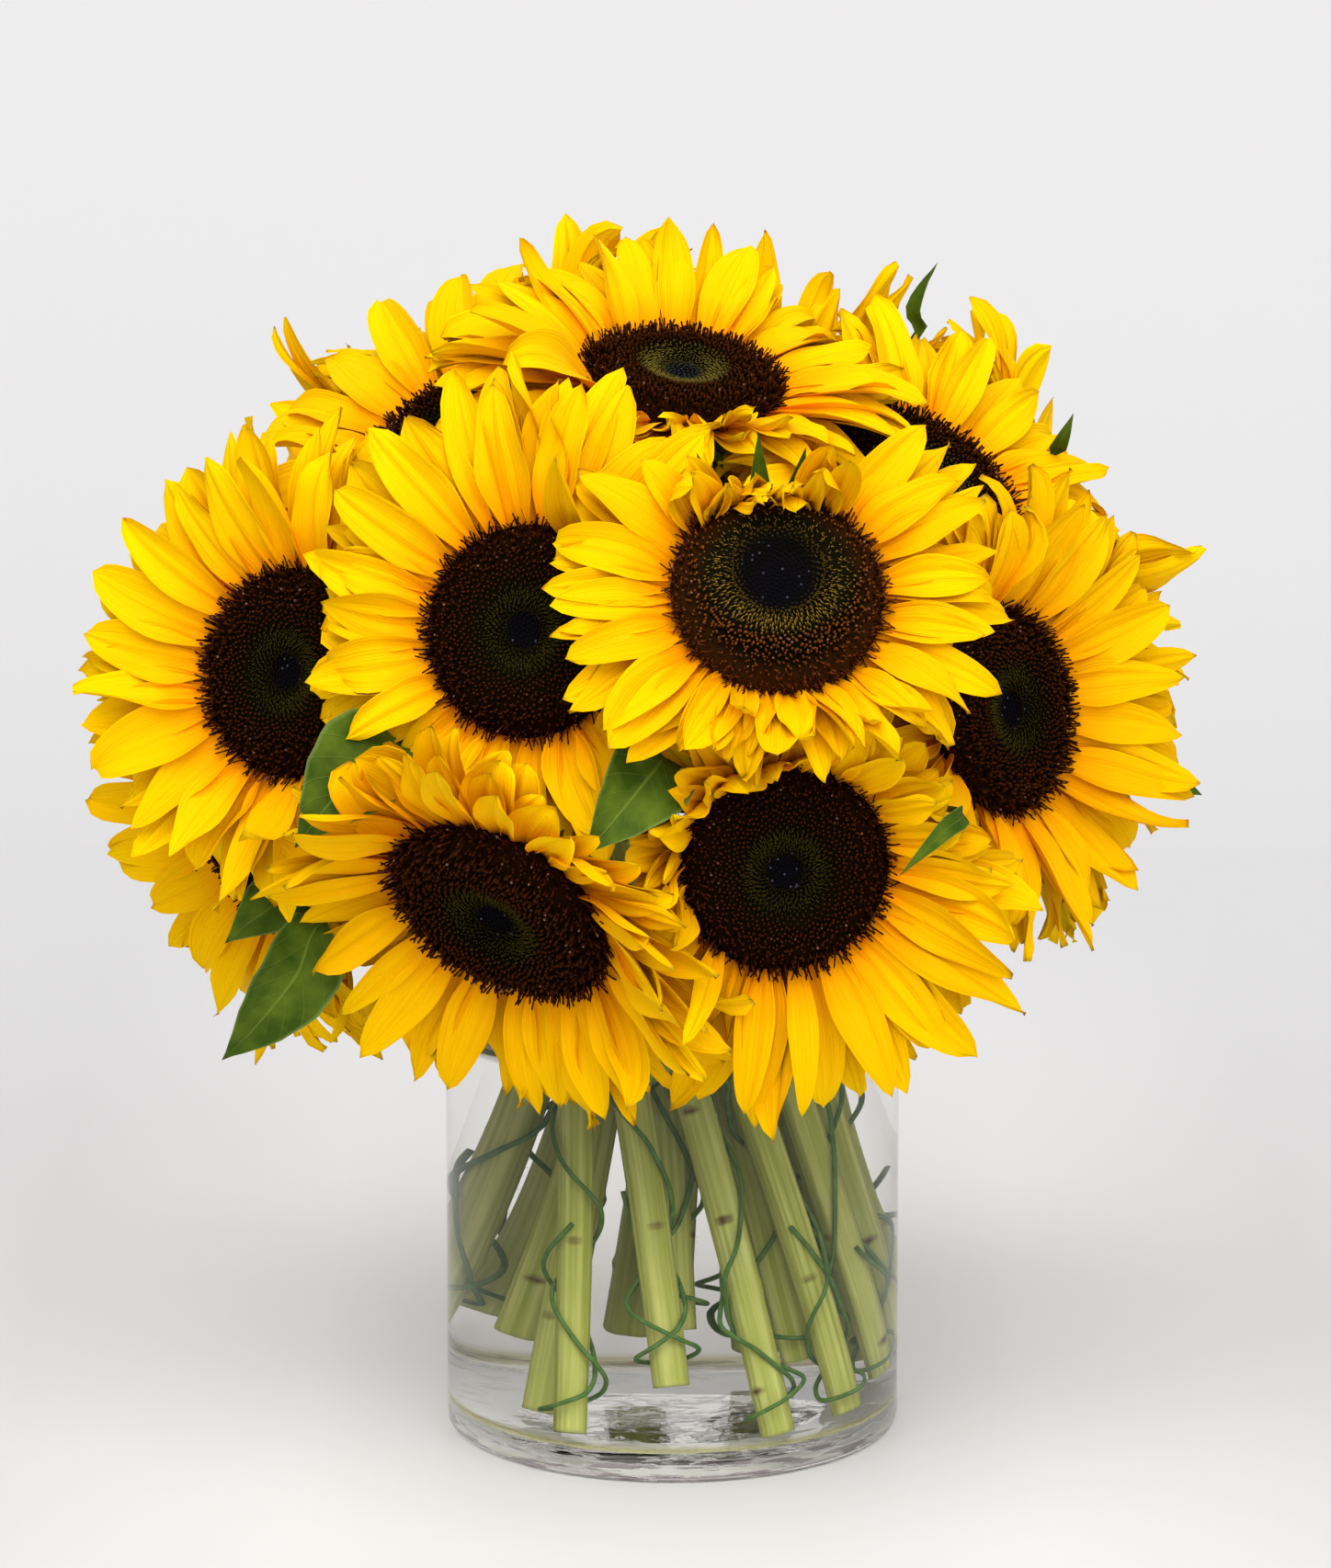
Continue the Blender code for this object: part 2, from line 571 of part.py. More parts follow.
def make_disc(head, parent):
    """Dome of florets: a dip in the middle, the highest ring beyond it, relief all over."""
    points = []
    for row, (share, height) in enumerate(DOME):
        for i in range(DISC_SIDES):
            turn = 2 * math.pi * (i + 0.5 * row) / DISC_SIDES
            bump = DOME_RELIEF if (i + row) % 2 else -DOME_RELIEF
            radius = DISC_RADIUS * share + (bump if row == 0 else 0)
            points.append((radius * math.cos(turn), radius * math.sin(turn), height + (bump if row else 0)))
    points.append((0, 0, DOME_MIDDLE))
    middle = len(points) - 1
    faces = []
    for row in range(len(DOME) - 1):
        for i in range(DISC_SIDES):
            a, b = row * DISC_SIDES + i, row * DISC_SIDES + (i + 1) % DISC_SIDES
            c, d = a + DISC_SIDES, b + DISC_SIDES
            faces += [(a, b, c), (b, d, c)]
    inner = (len(DOME) - 1) * DISC_SIDES
    faces += [(inner + i, inner + (i + 1) % DISC_SIDES, middle) for i in range(DISC_SIDES)]
    under = len(points)
    for i in range(DISC_SIDES):
        turn = 2 * math.pi * i / DISC_SIDES
        radius = DISC_RADIUS - DISC_BEVEL
        points.append((radius * math.cos(turn), radius * math.sin(turn), DISC_UNDER))
    for i in range(DISC_SIDES):
        j = (i + 1) % DISC_SIDES
        faces += [(under + i, j, i), (under + i, under + j, j)]
    faces.append(tuple(reversed(range(under, under + DISC_SIDES))))
    return add_object("disc_" + head.name, points, faces, "disc_brown", parent)


def petal_form(head, turn, rank, dice):
    """Length, half width, rise at the root, rise at the tip and lean of one petal before it is bent."""
    level = head.axes[2, 2]
    length = PETAL_LENGTH * dice.uniform(*PETAL_LENGTHS)
    half = PETAL_WIDTH / 2 * dice.uniform(*PETAL_WIDTHS)
    lift = RANK_LIFTS[rank] + head.rise
    for towards, reach, more, longer in head.pressed:
        away = abs((math.degrees(turn) - towards + 180) % 360 - 180)
        share = max(0.0, 1 - (away / reach) ** 2)
        lift += more * share
        length *= 1 + (longer - 1) * share
    root = PETAL_RISE[0] - PETAL_SAG[0] * level + lift
    end = PETAL_RISE[1] - PETAL_SAG[1] * level + lift + dice.uniform(-PETAL_FLUTTER, PETAL_FLUTTER)
    return length, half, root, end, dice.uniform(-PETAL_LEAN, PETAL_LEAN)


def petal_sections(head, turn, form, shares, grow=0.0):
    """Sections and tip of a petal in the head's frame, along an arc that bends evenly and droops."""
    length, half, root, end, lean = form
    root, bend = math.radians(root), math.radians(end - root) or 1e-6
    out = np.array([math.cos(turn), math.sin(turn), 0.0])
    side = np.array([-math.sin(turn), math.cos(turn), 0.0])
    up = np.array([0, 0, 1.0])

    def centre(share):
        away = RING_OUTER + length * (math.sin(root + bend * share) - math.sin(root)) / bend
        high = RING_TOP - RING_THICK / 2 + length * (math.cos(root) - math.cos(root + bend * share)) / bend
        return out * away + up * high + (side * lean * length + head.hang) * share ** 2

    sections = []
    for share, width in shares:
        slope = root + bend * share
        normal = up * math.cos(slope) - out * math.sin(slope)
        wide = side * (half * width + grow)
        edge = normal * PETAL_FOLD * half
        thick = normal * (PETAL_THICK / 2 + grow)
        middle = centre(share)
        sections.append((middle - wide + edge, middle + thick, middle + wide + edge, middle - thick))
    return sections, centre(1.0 + grow / length)


def bends():
    """Changes of rise, lean and length to try in turn, the smallest first."""
    rises = [(0, 0), (8, 8), (-7, -10), (16, 20), (-12, -22), (24, 36), (-16, -36), (34, 56), (44, 78),
             (-20, -55), (56, 95)]
    tries = []
    for root, end in rises:
        for lean in (0.0, 0.14, -0.14):
            for scale in (1.0, 0.86, 0.7, 0.55):
                cost = abs(end) / 24 + abs(lean) * 3 + (1 - scale) * 4.5
                tries.append((cost, root, end, lean, scale))
    return sorted(tries, key=lambda item: item[0])


def petal_ring(head):
    """The closed outline of a head's petal ring in the world."""
    high, low = RING_TOP + GAP, RING_TOP - RING_THICK - GAP
    points, faces = lathe([(RING_OUTER + GAP, low), (RING_OUTER + GAP, high)], 20)
    return head.world(points), faces


def make_petals(head, parent, solids, tries):
    """A ring with a petal grown from each of its sides, each bent clear of all that is there already."""
    dice = random.Random(head.name)
    count = head.petals
    own = Solids()
    points = []
    for i in range(count):
        turn = 2 * math.pi * i / count
        for radius in (RING_OUTER, RING_INNER):
            for height in (RING_TOP, RING_TOP - RING_THICK):
                points.append((radius * math.cos(turn), radius * math.sin(turn), height))
    faces = []
    for i in range(count):
        ot, ob, it, ib = range(4 * i, 4 * i + 4)
        nt, nb, mt, mb = (4 * ((i + 1) % count) + k for k in range(4))
        faces += [(it, ot, nt), (it, nt, mt), (ib, nb, ob), (ib, mb, nb), (it, mt, mb), (it, mb, ib)]
    for i in sorted(range(count), key=lambda i: (i % 2, i)):
        corners = [4 * i, 4 * i + 1, 4 * ((i + 1) % count), 4 * ((i + 1) % count) + 1]
        turn = 2 * math.pi * (i + 0.5) / count
        form = bend_petal(head, turn, petal_form(head, turn, i % 2, dice), own, solids, tries)
        if form is None:
            ot, ob, nt, nb = corners
            faces += [(ot, ob, nb), (ot, nb, nt)]
            continue
        faces += petal_skin(corners, len(points))
        sections, tip = petal_sections(head, turn, form, PETAL_STATIONS)
        points += [p for section in sections for p in section] + [tip]
    return add_object("petals_" + head.name, points, faces, "petal_yellow", parent)


def petal_skin(corners, first):
    """Triangles of a petal, from the four corners of the ring's side along its sections to the tip."""
    ot, ob, nt, nb = corners
    left, top, right, under = range(first, first + 4)
    faces = [(ot, left, top), (ot, top, nt), (nt, top, right), (ob, under, left), (ob, nb, under),
             (nb, right, under), (ot, ob, left), (nt, right, nb)]
    rows = [first + 4 * k for k in range(len(PETAL_STATIONS))]
    return faces + blade_faces(rows, first + 4 * len(rows))


def bend_petal(head, turn, form, own, solids, tries):
    """The first bend that keeps the petal clear, or None where no bend does.

    Beside its own bloom's petals it is tested from a little beyond the root, where they part.
    """
    length, half, root, end, lean = form
    for _, more_root, more_end, more_lean, scale in tries:
        bent = (length * scale, half * (0.5 + 0.5 * scale), root + more_root, end + more_end,
                lean + more_lean)
        if solids.hit(*whole_petal(head, turn, bent, CLEAR_OTHERS), skip=head.name):
            continue
        if own.hit(*free_petal(head, turn, bent, CLEAR_OWN)):
            continue
        solids.add(*whole_petal(head, turn, bent, 0.0), head.name)
        own.add(*free_petal(head, turn, bent, 0.0), head.name)
        return bent
    return None


def whole_petal(head, turn, form, grow):
    """A petal with its side of the ring, in the world, thicker and wider by the given growth."""
    points = []
    for way in (-1, 1):
        side = turn + way * math.pi / head.petals
        for height in (RING_TOP + grow, RING_TOP - RING_THICK - grow):
            points.append((RING_OUTER * math.cos(side), RING_OUTER * math.sin(side), height))
    sections, tip = petal_sections(head, turn, form, PETAL_STATIONS, grow)
    points += [p for section in sections for p in section] + [tip]
    return head.world(points), petal_skin([0, 1, 2, 3], 4)


def free_petal(head, turn, form, grow):
    """The part of a petal beyond its root, as a closed blade in the world."""
    sections, tip = petal_sections(head, turn, form, [FREE_STATION] + PETAL_STATIONS, grow)
    return blade([head.world(s) for s in sections], head.world([tip])[0])


def wire_turn():
    """Radius of the wire's coil, whose straight steps still clear the corners of the stem."""
    return (STEM_RADIUS + GAP + WIRE_RADIUS) / math.cos(math.pi / WIRE_STEPS)


def make_wire(head, path):
    """Binding wire wound round a stem from just above its cut end to just above the water."""
    frames = frame_from(head, path)
    cumulative = np.concatenate([[0], np.cumsum(np.linalg.norm(np.diff(path, axis=0), axis=1))])
    low, high = WIRE_ABOVE_CUT, cumulative[STEM_STEPS_BELOW] - WIRE_BELOW_TIE
    steps = int((high - low) / WIRE_PITCH * WIRE_STEPS)
    line = []
    for k in range(steps + 1):
        along = low + (high - low) * k / steps
        row = min(int(np.searchsorted(cumulative, along)) - 1, len(path) - 2)
        share = (along - cumulative[row]) / (cumulative[row + 1] - cumulative[row])
        centre = path[row] * (1 - share) + path[row + 1] * share
        turn = 2 * math.pi * k / WIRE_STEPS
        side = math.cos(turn) * frames[row][0] + math.sin(turn) * frames[row][1]
        line.append(centre + wire_turn() * side)
    line = np.array(line)
    ends = np.diff(line, axis=0)
    side = np.array([0, 0, 1.0])
    wire_frames = []
    for k in range(len(line)):
        ahead = unit(ends[min(k, len(ends) - 1)] + ends[max(k - 1, 0)])
        side = unit(side - ahead * side.dot(ahead))
        wire_frames.append((side, np.cross(ahead, side)))
    points, faces = tube(line, [WIRE_RADIUS] * len(line), wire_frames, WIRE_SIDES)
    return add_object("wire_" + head.name, points, faces, "wire_green", smooth=60)


def build():
    """Empty the scene, then lay the stems, place the heads, and add leaves, wires, water and petals."""
    for obj in list(bpy.data.objects):
        bpy.data.objects.remove(obj)
    heads = [Head(**bloom) for bloom in BLOOMS]
    lower = [stem_below(head) for head in heads]
    upper = part_stems([stem_above(h, low[-1], way) for h, (low, way) in zip(heads, lower)], heads)
    paths = [np.vstack([low, up[2::2]]) for (low, _), up in zip(lower, upper)]

    solids = Solids()
    solids.add_object(make_vase(), "vase")
    stems = {}
    empties = {}
    for head, path in zip(heads, paths):
        empties[head.name] = head.empty()
        bpy.context.view_layer.update()
        disc = make_disc(head, empties[head.name])
        stem = make_stem(head, path)
        bpy.context.view_layer.update()
        solids.add_object(disc, "disc")
        solids.add_object(stem, "stem_" + head.name)
        stems[head.name] = (stem, path)
    for head in heads:
        solids.add(*petal_ring(head), head.name)
    add_leaves(stems, solids)
    for head, path in zip(heads, paths):
        if head.name in WIRED:
            make_wire(head, path)
    make_water(list(zip(heads, paths)), WIRED)
    tries = bends()
    for head in heads:
        make_petals(head, empties[head.name], solids, tries)


build()
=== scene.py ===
"""Sunflowers in a clear glass cylinder vase: the looks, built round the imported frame.

Units are metres, +Z is up, -Y is the front. Every flower head has its own frame, with the rim of
its disc in the plane z = 0 and z pointing out of the face. A blade (petal, bract or leaf) is a
grid of points (t, v), t from root to tip and v from edge to edge.
"""

import itertools
import math
import random
from dataclasses import dataclass

import bpy
import numpy as np
from mathutils import Euler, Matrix
from mathutils.bvhtree import BVHTree


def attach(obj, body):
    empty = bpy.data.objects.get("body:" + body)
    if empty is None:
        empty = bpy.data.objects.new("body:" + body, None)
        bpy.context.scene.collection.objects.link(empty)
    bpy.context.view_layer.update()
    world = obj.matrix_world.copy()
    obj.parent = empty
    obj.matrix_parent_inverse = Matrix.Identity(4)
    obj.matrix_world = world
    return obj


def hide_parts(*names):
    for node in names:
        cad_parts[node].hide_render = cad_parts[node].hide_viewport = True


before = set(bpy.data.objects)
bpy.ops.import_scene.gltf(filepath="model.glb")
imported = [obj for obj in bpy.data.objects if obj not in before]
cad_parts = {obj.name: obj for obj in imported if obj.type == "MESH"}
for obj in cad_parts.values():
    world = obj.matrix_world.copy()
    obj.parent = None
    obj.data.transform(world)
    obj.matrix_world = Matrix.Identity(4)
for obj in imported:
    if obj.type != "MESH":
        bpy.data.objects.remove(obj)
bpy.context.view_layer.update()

# Vase and water: the hollow under the foot, the crown of the floor and the meniscus are profiles of
# (radius or way in from the wall, height)
VASE_RADIUS = 0.075
VASE_HEIGHT = 0.150
VASE_WALL = 0.004
VASE_FLOOR = 0.010
FOOT_ROUND = 0.005
INNER_ROUND = 0.004
STRAIGHT_FROM = 0.02
FOOT_HOLLOW = [(0, 0.0006), (0.030, 0.0005), (0.060, 0.0001), (0.066, 0.0)]
FLOOR_CROWN = [(0, 0.0006), (0.025, 0.0005), (0.050, 0.0002)]
WATER_LEVEL = 0.138
WATER_SINK = 0.0002
MENISCUS = [(0.0, 0.0012), (0.0004, 0.0010), (0.0014, 0.0003), (0.003, 0.0)]
GLASS_SIDES = 180

# Bundle of stems: tie height, ring radii, then how far each ring leans by its cut ends. Above the tie
# the stems are curves that are pushed off each other and off the heads
TIE_HEIGHT = 0.165
RINGS = {
    "outer": {"radius": 0.031, "spread": 0.024, "lean": 0.17, "uneven": 0.010},
    "inner": {"radius": 0.0135, "spread": 0.026, "lean": 0.13, "uneven": 0.0},
}
STEEPEST = math.radians(20)
STEM_RADIUS = 0.0056
NECK_RADIUS = 0.0047
STEM_STEPS_BELOW = 3
STEM_STEPS_ABOVE = 14
CURVE_PULL = 0.36
NECK_PULL = 0.04
STEM_CLEARANCE = 0.0128
HEAD_CLEARANCE = 0.043
HEAD_BALL_DEPTH = 0.008
STEM_PUSH = 0.4
HEAD_PUSH = 0.5
STEM_SMOOTHING = 0.25
RELAX_STEPS = 220

# Surface of a stem
STEM_SIDES = 15
STEM_ROWS = 190
RIBS = 5
RIB_DEPTH = 0.045
OVAL_DEPTH = 0.02
SCAR_FIRST = (0.01, 0.04)
SCAR_APART = (0.024, 0.052)
SCAR_LENGTH = 0.0019
SCAR_WIDTH = 0.0036
SCAR_RISE = 0.0009
HAIRS = 260
HAIR_LENGTH = (0.0009, 0.0017)
HAIR_RADIUS = 0.00007

# Disc: dome (share of the radius, height), underside and cup (depth, radius)
DISC_RADIUS = 0.034
DOME = [(0.0, 0.0015), (0.26, 0.0030), (0.55, 0.0058), (0.84, 0.0042), (1.0, -0.0006)]
DISC_UNDER = -0.0036
DISC_BEVEL = 0.0018
DISC_ROWS = 24
DISC_SIDES = 40
CUP = [(-0.0190, 0.0062), (-0.0160, 0.0145), (-0.0125, 0.0215), (-0.0095, 0.0265), (-0.0058, 0.0305)]
NECK_DEPTH = 0.022

# Florets: how wildly they stand (by share of the radius), then length, half width and tilt (degrees)
# at the edges of eight zones, and a floret's own rings (share of its length, share of its width)
FLORETS = 1500
RING_MORE = 450
RIM_MORE = 260
RIM_START = 0.94
GOLDEN_ANGLE = math.radians(137.50776)
WILDNESS = [(0, 0.1), (0.5, 0.25), (0.8, 1), (1, 1.2)]
FLORET_LENGTHS = [0.0009, 0.0012, 0.0026, 0.0028, 0.0021, 0.0032, 0.0042, 0.0046]
FLORET_WIDTHS = [0.00050, 0.00050, 0.00020, 0.00022, 0.00048, 0.00050, 0.00040, 0.00034]
FLORET_TILTS = [0, -10, -66, -60, -8, 4, 22, 64]
FLORET_RINGS = [(0.22, 1.0), (0.62, 0.72), (0.90, 0.95)]

# Looks of the discs: the ring round the eye (shares of the radius), how far eye and ring move up, and
# the colours of the eye, of the strands in the ring, of the band outside it and of the rim's pins
DISC_LOOKS = {
    "dark_florets": dict(
        ring=(0.24, 0.44), shift=0.0, eye=(0.006, 0.005, 0.008), strands=(0.060, 0.046, 0.006),
        band=(0.058, 0.014, 0.002), pins=(0.060, 0.011, 0.003)),
    # Pale-eyed look, on discs that face up: its pale eye is partly the florets' own colour and partly
    # painted sheen of florets seen at a glancing angle
    "pale_eyed_florets": dict(
        ring=(0.24, 0.44), shift=0.0, eye=(0.034, 0.038, 0.034), strands=(0.200, 0.150, 0.026),
        band=(0.058, 0.014, 0.002), pins=(0.060, 0.011, 0.003)),
    "open_florets": dict(
        ring=(0.44, 0.70), shift=0.9, eye=(0.006, 0.005, 0.008), strands=(0.320, 0.200, 0.024),
        band=(0.190, 0.056, 0.009), pins=(0.120, 0.022, 0.005)),
}

# Petals: slopes at root and end (degrees) of a bloom that faces the horizon, how far they sag on one
# that faces up, and how far each rank stands above that. Odd petals twist and curl more. Variety: the
# range of what else differs from petal to petal
PETAL_ROOT = 0.0315
PETAL_LEVEL = -0.0045
PETAL_LENGTH = 0.047
PETAL_WIDTH = 0.0144
PETAL_THICK = 0.0004
PETAL_RISE = (14.0, 2.0)
PETAL_SAG = (8.0, 28.0)
RANK_LIFTS = (15.0, 6.0, -2.0, -10.0)
RANK_GAP = 0.0004
TINT_RANGE = 0.65
ODD_SHARE = 0.22
TWIST = {True: (-75, 75), False: (-22, 22)}
CURL = {True: (-95, 85), False: (-62, 12)}
CURL_LIMIT = 172
VARIETY = {
    "cup": (0.05, 0.36), "keel": (-0.15, 0.45), "groove": (0.00030, 0.00085), "wave": (0.0004, 0.0030),
    "beat": (5, 13), "phase": (0, 6.28), "swap": (0, 1.6), "widest": (0.40, 0.64), "point": (2.1, 4.2),
}

# Changes of a petal's slopes at root and end, of its lean and of its length, to be tried where it
# would cross what is there, and the outline of the room that a disc keeps (radius, height)
MORE_RISE = [(0, 0), (8, 8), (-7, -10), (16, 20), (-12, -22), (24, 36), (-16, -36), (34, 56), (44, 78),
             (-20, -55), (56, 95)]
MORE_LEAN = (0.0, 0.14, -0.14)
SHORTER = (1.0, 0.86, 0.7, 0.55)
DISC_ROOM = [(0, -0.014), (0.026, -0.013), (0.037, -0.005), (0.0385, 0.001), (0.033, 0.0075),
             (0.024, 0.0095), (0.021, 0.022), (0, 0.023)]

# Bracts, two rows: number, radius and level of the root, slope (degrees), and how much steeper the
# root is. Leaves: narrower and higher ones are tried where a leaf would cross what is there
BRACT_ROWS = [(15, 0.0290, -0.0082, -8, 0), (13, 0.0235, -0.0125, -14, 40)]
BRACT_LENGTH = (0.014, 0.019)
BRACT_HALF = 0.0046
BRACT_THICK = 0.0005
LEAF_THICK = 0.0006
LEAF_WAVE = 0.0016
LEAF_TEETH = 9
LEAF_TOOTH = 0.07
LEAF_TRIES = [(1, 0.14), (1, 0.0), (1, 0.25), (0.85, 0.14), (0.75, 0.05), (0.6, 0.1)]

# Outlines of blades stay sharp: edges of more than so many degrees
BLADE_EDGE = 100

# Binding wire: where it starts above the cut end, how far up it goes and how far it comes back, and
# how far its loose turns and the hairpin stand off
WIRE_RADIUS = 0.00080
WIRE_SIDES = 7
WIRE_ROWS = 220
WIRE_STEP = 0.0016
WIRE_PITCH = 0.080
WIRE_START = (0.004, 0.010)
WIRE_TOP = 0.155
WIRE_BACK = (0.030, 0.075)
HAIRPIN_ROUND = 0.004
HAIRPIN_REACH = 0.011
HAIRPIN_LOOSE = 0.0035
TURNS_LOOSE = (0.003, 0.0058)

# Blooms, in the order in which their petals are laid, those in front first: middle of the disc, the
# way it faces (degrees round from the front, degrees above level), place in the bundle (ring, degrees
# round), height of the cut end and number of petals. Pressed sectors of the ring: the turn of the
# sector's middle, half its range, what it adds to the slopes of root and end, factors of length and
# width, and how far it may add to the curl and twist of a petal either way. Droop: how far its own
# weight lowers a petal's tip. Orange and shade: how much more orange its petals are, partly their own
# tone and partly painted shade on the blooms that lie in shade. Clear: the radius of the disc
# that stays clear of its petals. Wide: factor of the width of all its petals. Sepals: a sector whose
# bracts rise by so many degrees and are so many times longer
BLOOMS = [
    dict(name="low_left", middle=(-0.055, -0.122, 0.206), facing=(-32, -35), place=("outer", -34),
         cut=0.030, petals=84, size=1.12, droop=0.009, orange_and_shade=0.6, wide=0.88,
         pressed=[(112, 48, -26, -38, 0.78, 1.2, 20), (-90, 60, 0, 4, 0.82, 1.0, 0),
                  (48, 42, -16, -20, 0.62, 1.0, 20), (0, 30, 0, 0, 0.80, 1.0, 20),
                  (180, 40, 0, 0, 0.84, 0.9, 10)]),
    dict(name="low_right", middle=(0.035, -0.130, 0.222), facing=(8, -4), place=("outer", 18),
         cut=0.014, petals=88, droop=0.004, orange_and_shade=0.4, wide=0.9,
         pressed=[(100, 60, 30, 44, 0.74, 1.1, 40), (172, 48, 26, 50, 0.66, 0.8, 60),
                  (-80, 75, -4, -8, 1.10, 1.05, 0), (-30, 35, -4, -8, 1.12, 1.1, 0),
                  (28, 36, 12, 12, 0.70, 0.9, 30)]),
    dict(name="centre_right", middle=(0.033, -0.124, 0.310), facing=(8, 33), place=("inner", 36),
         cut=0.030, petals=80, orange_and_shade=0.4, clear=0.022, wide=0.88, sepals=(92, 70, 50, 1.6),
         look="open_florets",
         pressed=[(95, 58, 74, 150, 0.50, 0.85, 40), (-88, 58, 26, 44, 0.72, 1.0, 80),
                  (180, 50, 0, 0, 0.92, 1.2, 20), (0, 50, 14, 6, 0.92, 1.0, 20)]),
    dict(name="centre_left", middle=(-0.046, -0.112, 0.295), facing=(-20, 16), place=("outer", -8),
         cut=0.012, petals=88, orange_and_shade=0.2,
         pressed=[(104, 66, 0, 8, 1.18, 1.25, 10), (185, 50, 6, 0, 0.95, 1.15, 0),
                  (-90, 50, 0, 0, 1.0, 1.0, 30), (228, 26, 0, 0, 0.76, 1.0, 0)]),
    dict(name="right", middle=(0.107, -0.050, 0.255), facing=(52, 12), place=("outer", 45),
         cut=0.020, petals=80, rise=8, orange_and_shade=0.7,
         pressed=[(0, 70, 14, 14, 1.1, 1.0, 10), (-90, 60, 0, 0, 1.1, 0.9, 20)]),
    dict(name="left", middle=(-0.1225, -0.062, 0.270), facing=(-35, 14), place=("outer", -60),
         cut=0.0125, petals=88, rise=6,
         pressed=[(180, 80, 6, 0, 1.0, 1.15, 0), (90, 50, 4, 0, 1.05, 1.1, 0)]),
    dict(name="top", middle=(0.003, -0.030, 0.360), facing=(26, 74), place=("inner", -24),
         cut=0.045, petals=84, rise=6, size=0.96, look="pale_eyed_florets",
         pressed=[(90, 75, 26, 30, 1.05, 1.0, 0), (-100, 50, 18, 34, 0.64, 0.95, 40),
                  (-35, 40, -4, 0, 1.06, 1.1, 10), (170, 30, 4, 10, 1.2, 1.4, 20)]),
    dict(name="upper_right", middle=(0.081, -0.030, 0.324), facing=(48, 50), place=("inner", 96),
         cut=0.038, petals=76, rise=8, look="pale_eyed_florets",
         pressed=[(90, 70, 8, 8, 1.08, 1.1, 0), (-120, 60, 20, 50, 0.7, 0.9, 40)]),
    dict(name="upper_left", middle=(-0.068, -0.030, 0.340), facing=(-50, 58), place=("inner", -84),
         cut=0.013, petals=76, rise=12,
         pressed=[(120, 90, 2, 2, 1.16, 1.15, 0), (-60, 70, 20, 36, 0.85, 1.1, 20)]),
    dict(name="far_low_left", middle=(-0.136, -0.018, 0.206), facing=(-58, -16), place=("outer", -132),
         cut=0.028, petals=76, rise=8, orange_and_shade=0.2,
         pressed=[(-60, 60, 0, -4, 1.10, 0.75, 30), (180, 60, 0, 0, 1.0, 1.2, 0)]),
    dict(name="far_right", middle=(0.122, 0.036, 0.298), facing=(92, 25), place=("outer", 97),
         cut=0.020, petals=76, rise=18, pressed=[(180, 80, 6, 10, 1.1, 1.1, 20)]),
    dict(name="top_back_left", middle=(-0.052, 0.050, 0.350), facing=(-150, 62), place=("inner", -144),
         cut=0.030, petals=76, rise=38, pressed=[(0, 400, 0, 0, 0.86, 1.1, 0)]),
    dict(name="top_back_right", middle=(0.036, 0.060, 0.344), facing=(150, 62), place=("inner", 156),
         cut=0.040, petals=76, rise=38, pressed=[(0, 400, 0, 0, 0.88, 1.1, 0)]),
    dict(name="back_left", middle=(-0.120, 0.034, 0.308), facing=(-90, 34), place=("outer", -158),
         cut=0.030, petals=68, rise=14, pressed=[(90, 100, -14, -20, 0.94, 1.1, 0)]),
    dict(name="low_far_right", middle=(0.125, 0.028, 0.222), facing=(95, -6), place=("outer", 71),
         cut=0.026, petals=64, rise=14, pressed=[(-90, 80, 6, 20, 0.66, 1.1, 0)]),
    dict(name="back_middle", middle=(-0.012, 0.125, 0.285), facing=(-175, 18), place=("outer", 150),
         cut=0.018, petals=60, rise=8),
    dict(name="back_low_left", middle=(-0.082, 0.105, 0.212), facing=(-143, -8), place=("outer", 176),
         cut=0.024, petals=60, rise=8),
    dict(name="back_low_right", middle=(0.062, 0.114, 0.215), facing=(150, -8), place=("outer", 123),
         cut=0.015, petals=60, rise=8),
]
FRONT = [bloom["name"] for bloom in BLOOMS[:9]]

# Leaves: bloom whose stem bears it, share of the way up from the tie, foot of the blade, tip, half
# width and the way its face looks
LEAVES = [
    ("left", 0.66, (-0.088, -0.106, 0.258), (-0.120, -0.124, 0.227), 0.0165, (-0.3, -1, 0.3)),
    ("centre_left", 0.52, (-0.003, -0.136, 0.260), (-0.028, -0.158, 0.233), 0.0140, (0.1, -1, 0.2)),
    ("far_low_left", 0.60, (-0.112, -0.066, 0.202), (-0.145, -0.066, 0.181), 0.0110, (-0.3, -1, 0.6)),
    ("low_left", 0.45, (-0.110, -0.082, 0.194), (-0.146, -0.074, 0.144), 0.0130, (0.3, -1, 0.1)),
    ("low_far_right", 0.60, (0.150, -0.012, 0.222), (0.174, -0.006, 0.216), 0.0050, (0.3, -1, 0.8)),
    ("right", 0.62, (0.092, -0.122, 0.238), (0.071, -0.146, 0.223), 0.0026, (0.2, -1, 0.5)),
    ("far_right", 0.70, (0.124, 0.010, 0.326), (0.131, 0.004, 0.342), 0.0022, (0.2, -1, 0.3)),
    ("top_back_right", 0.80, (0.080, 0.030, 0.362), (0.087, 0.026, 0.388), 0.0019, (-0.9, -0.6, 0.2)),
    ("back_left", 0.60, (-0.140, 0.030, 0.275), (-0.165, 0.012, 0.258), 0.0140, (-0.4, -1, 0.4)),
    ("back_low_left", 0.50, (-0.110, 0.080, 0.210), (-0.130, 0.060, 0.182), 0.0130, (-1, 0.3, 0.3)),
    ("back_low_right", 0.50, (0.012, 0.128, 0.250), (-0.006, 0.146, 0.222), 0.0130, (0, 1, 0.2)),
    ("back_middle", 0.60, (0.040, 0.120, 0.310), (0.066, 0.136, 0.286), 0.0150, (0.3, 1, 0.3)),
    ("back_middle", 0.45, (-0.050, 0.114, 0.262), (-0.076, 0.122, 0.236), 0.0130, (-0.3, 1, 0.3)),
    ("top_back_right", 0.62, (0.070, 0.100, 0.310), (0.088, 0.116, 0.282), 0.0130, (0.5, 1, 0.3)),
]

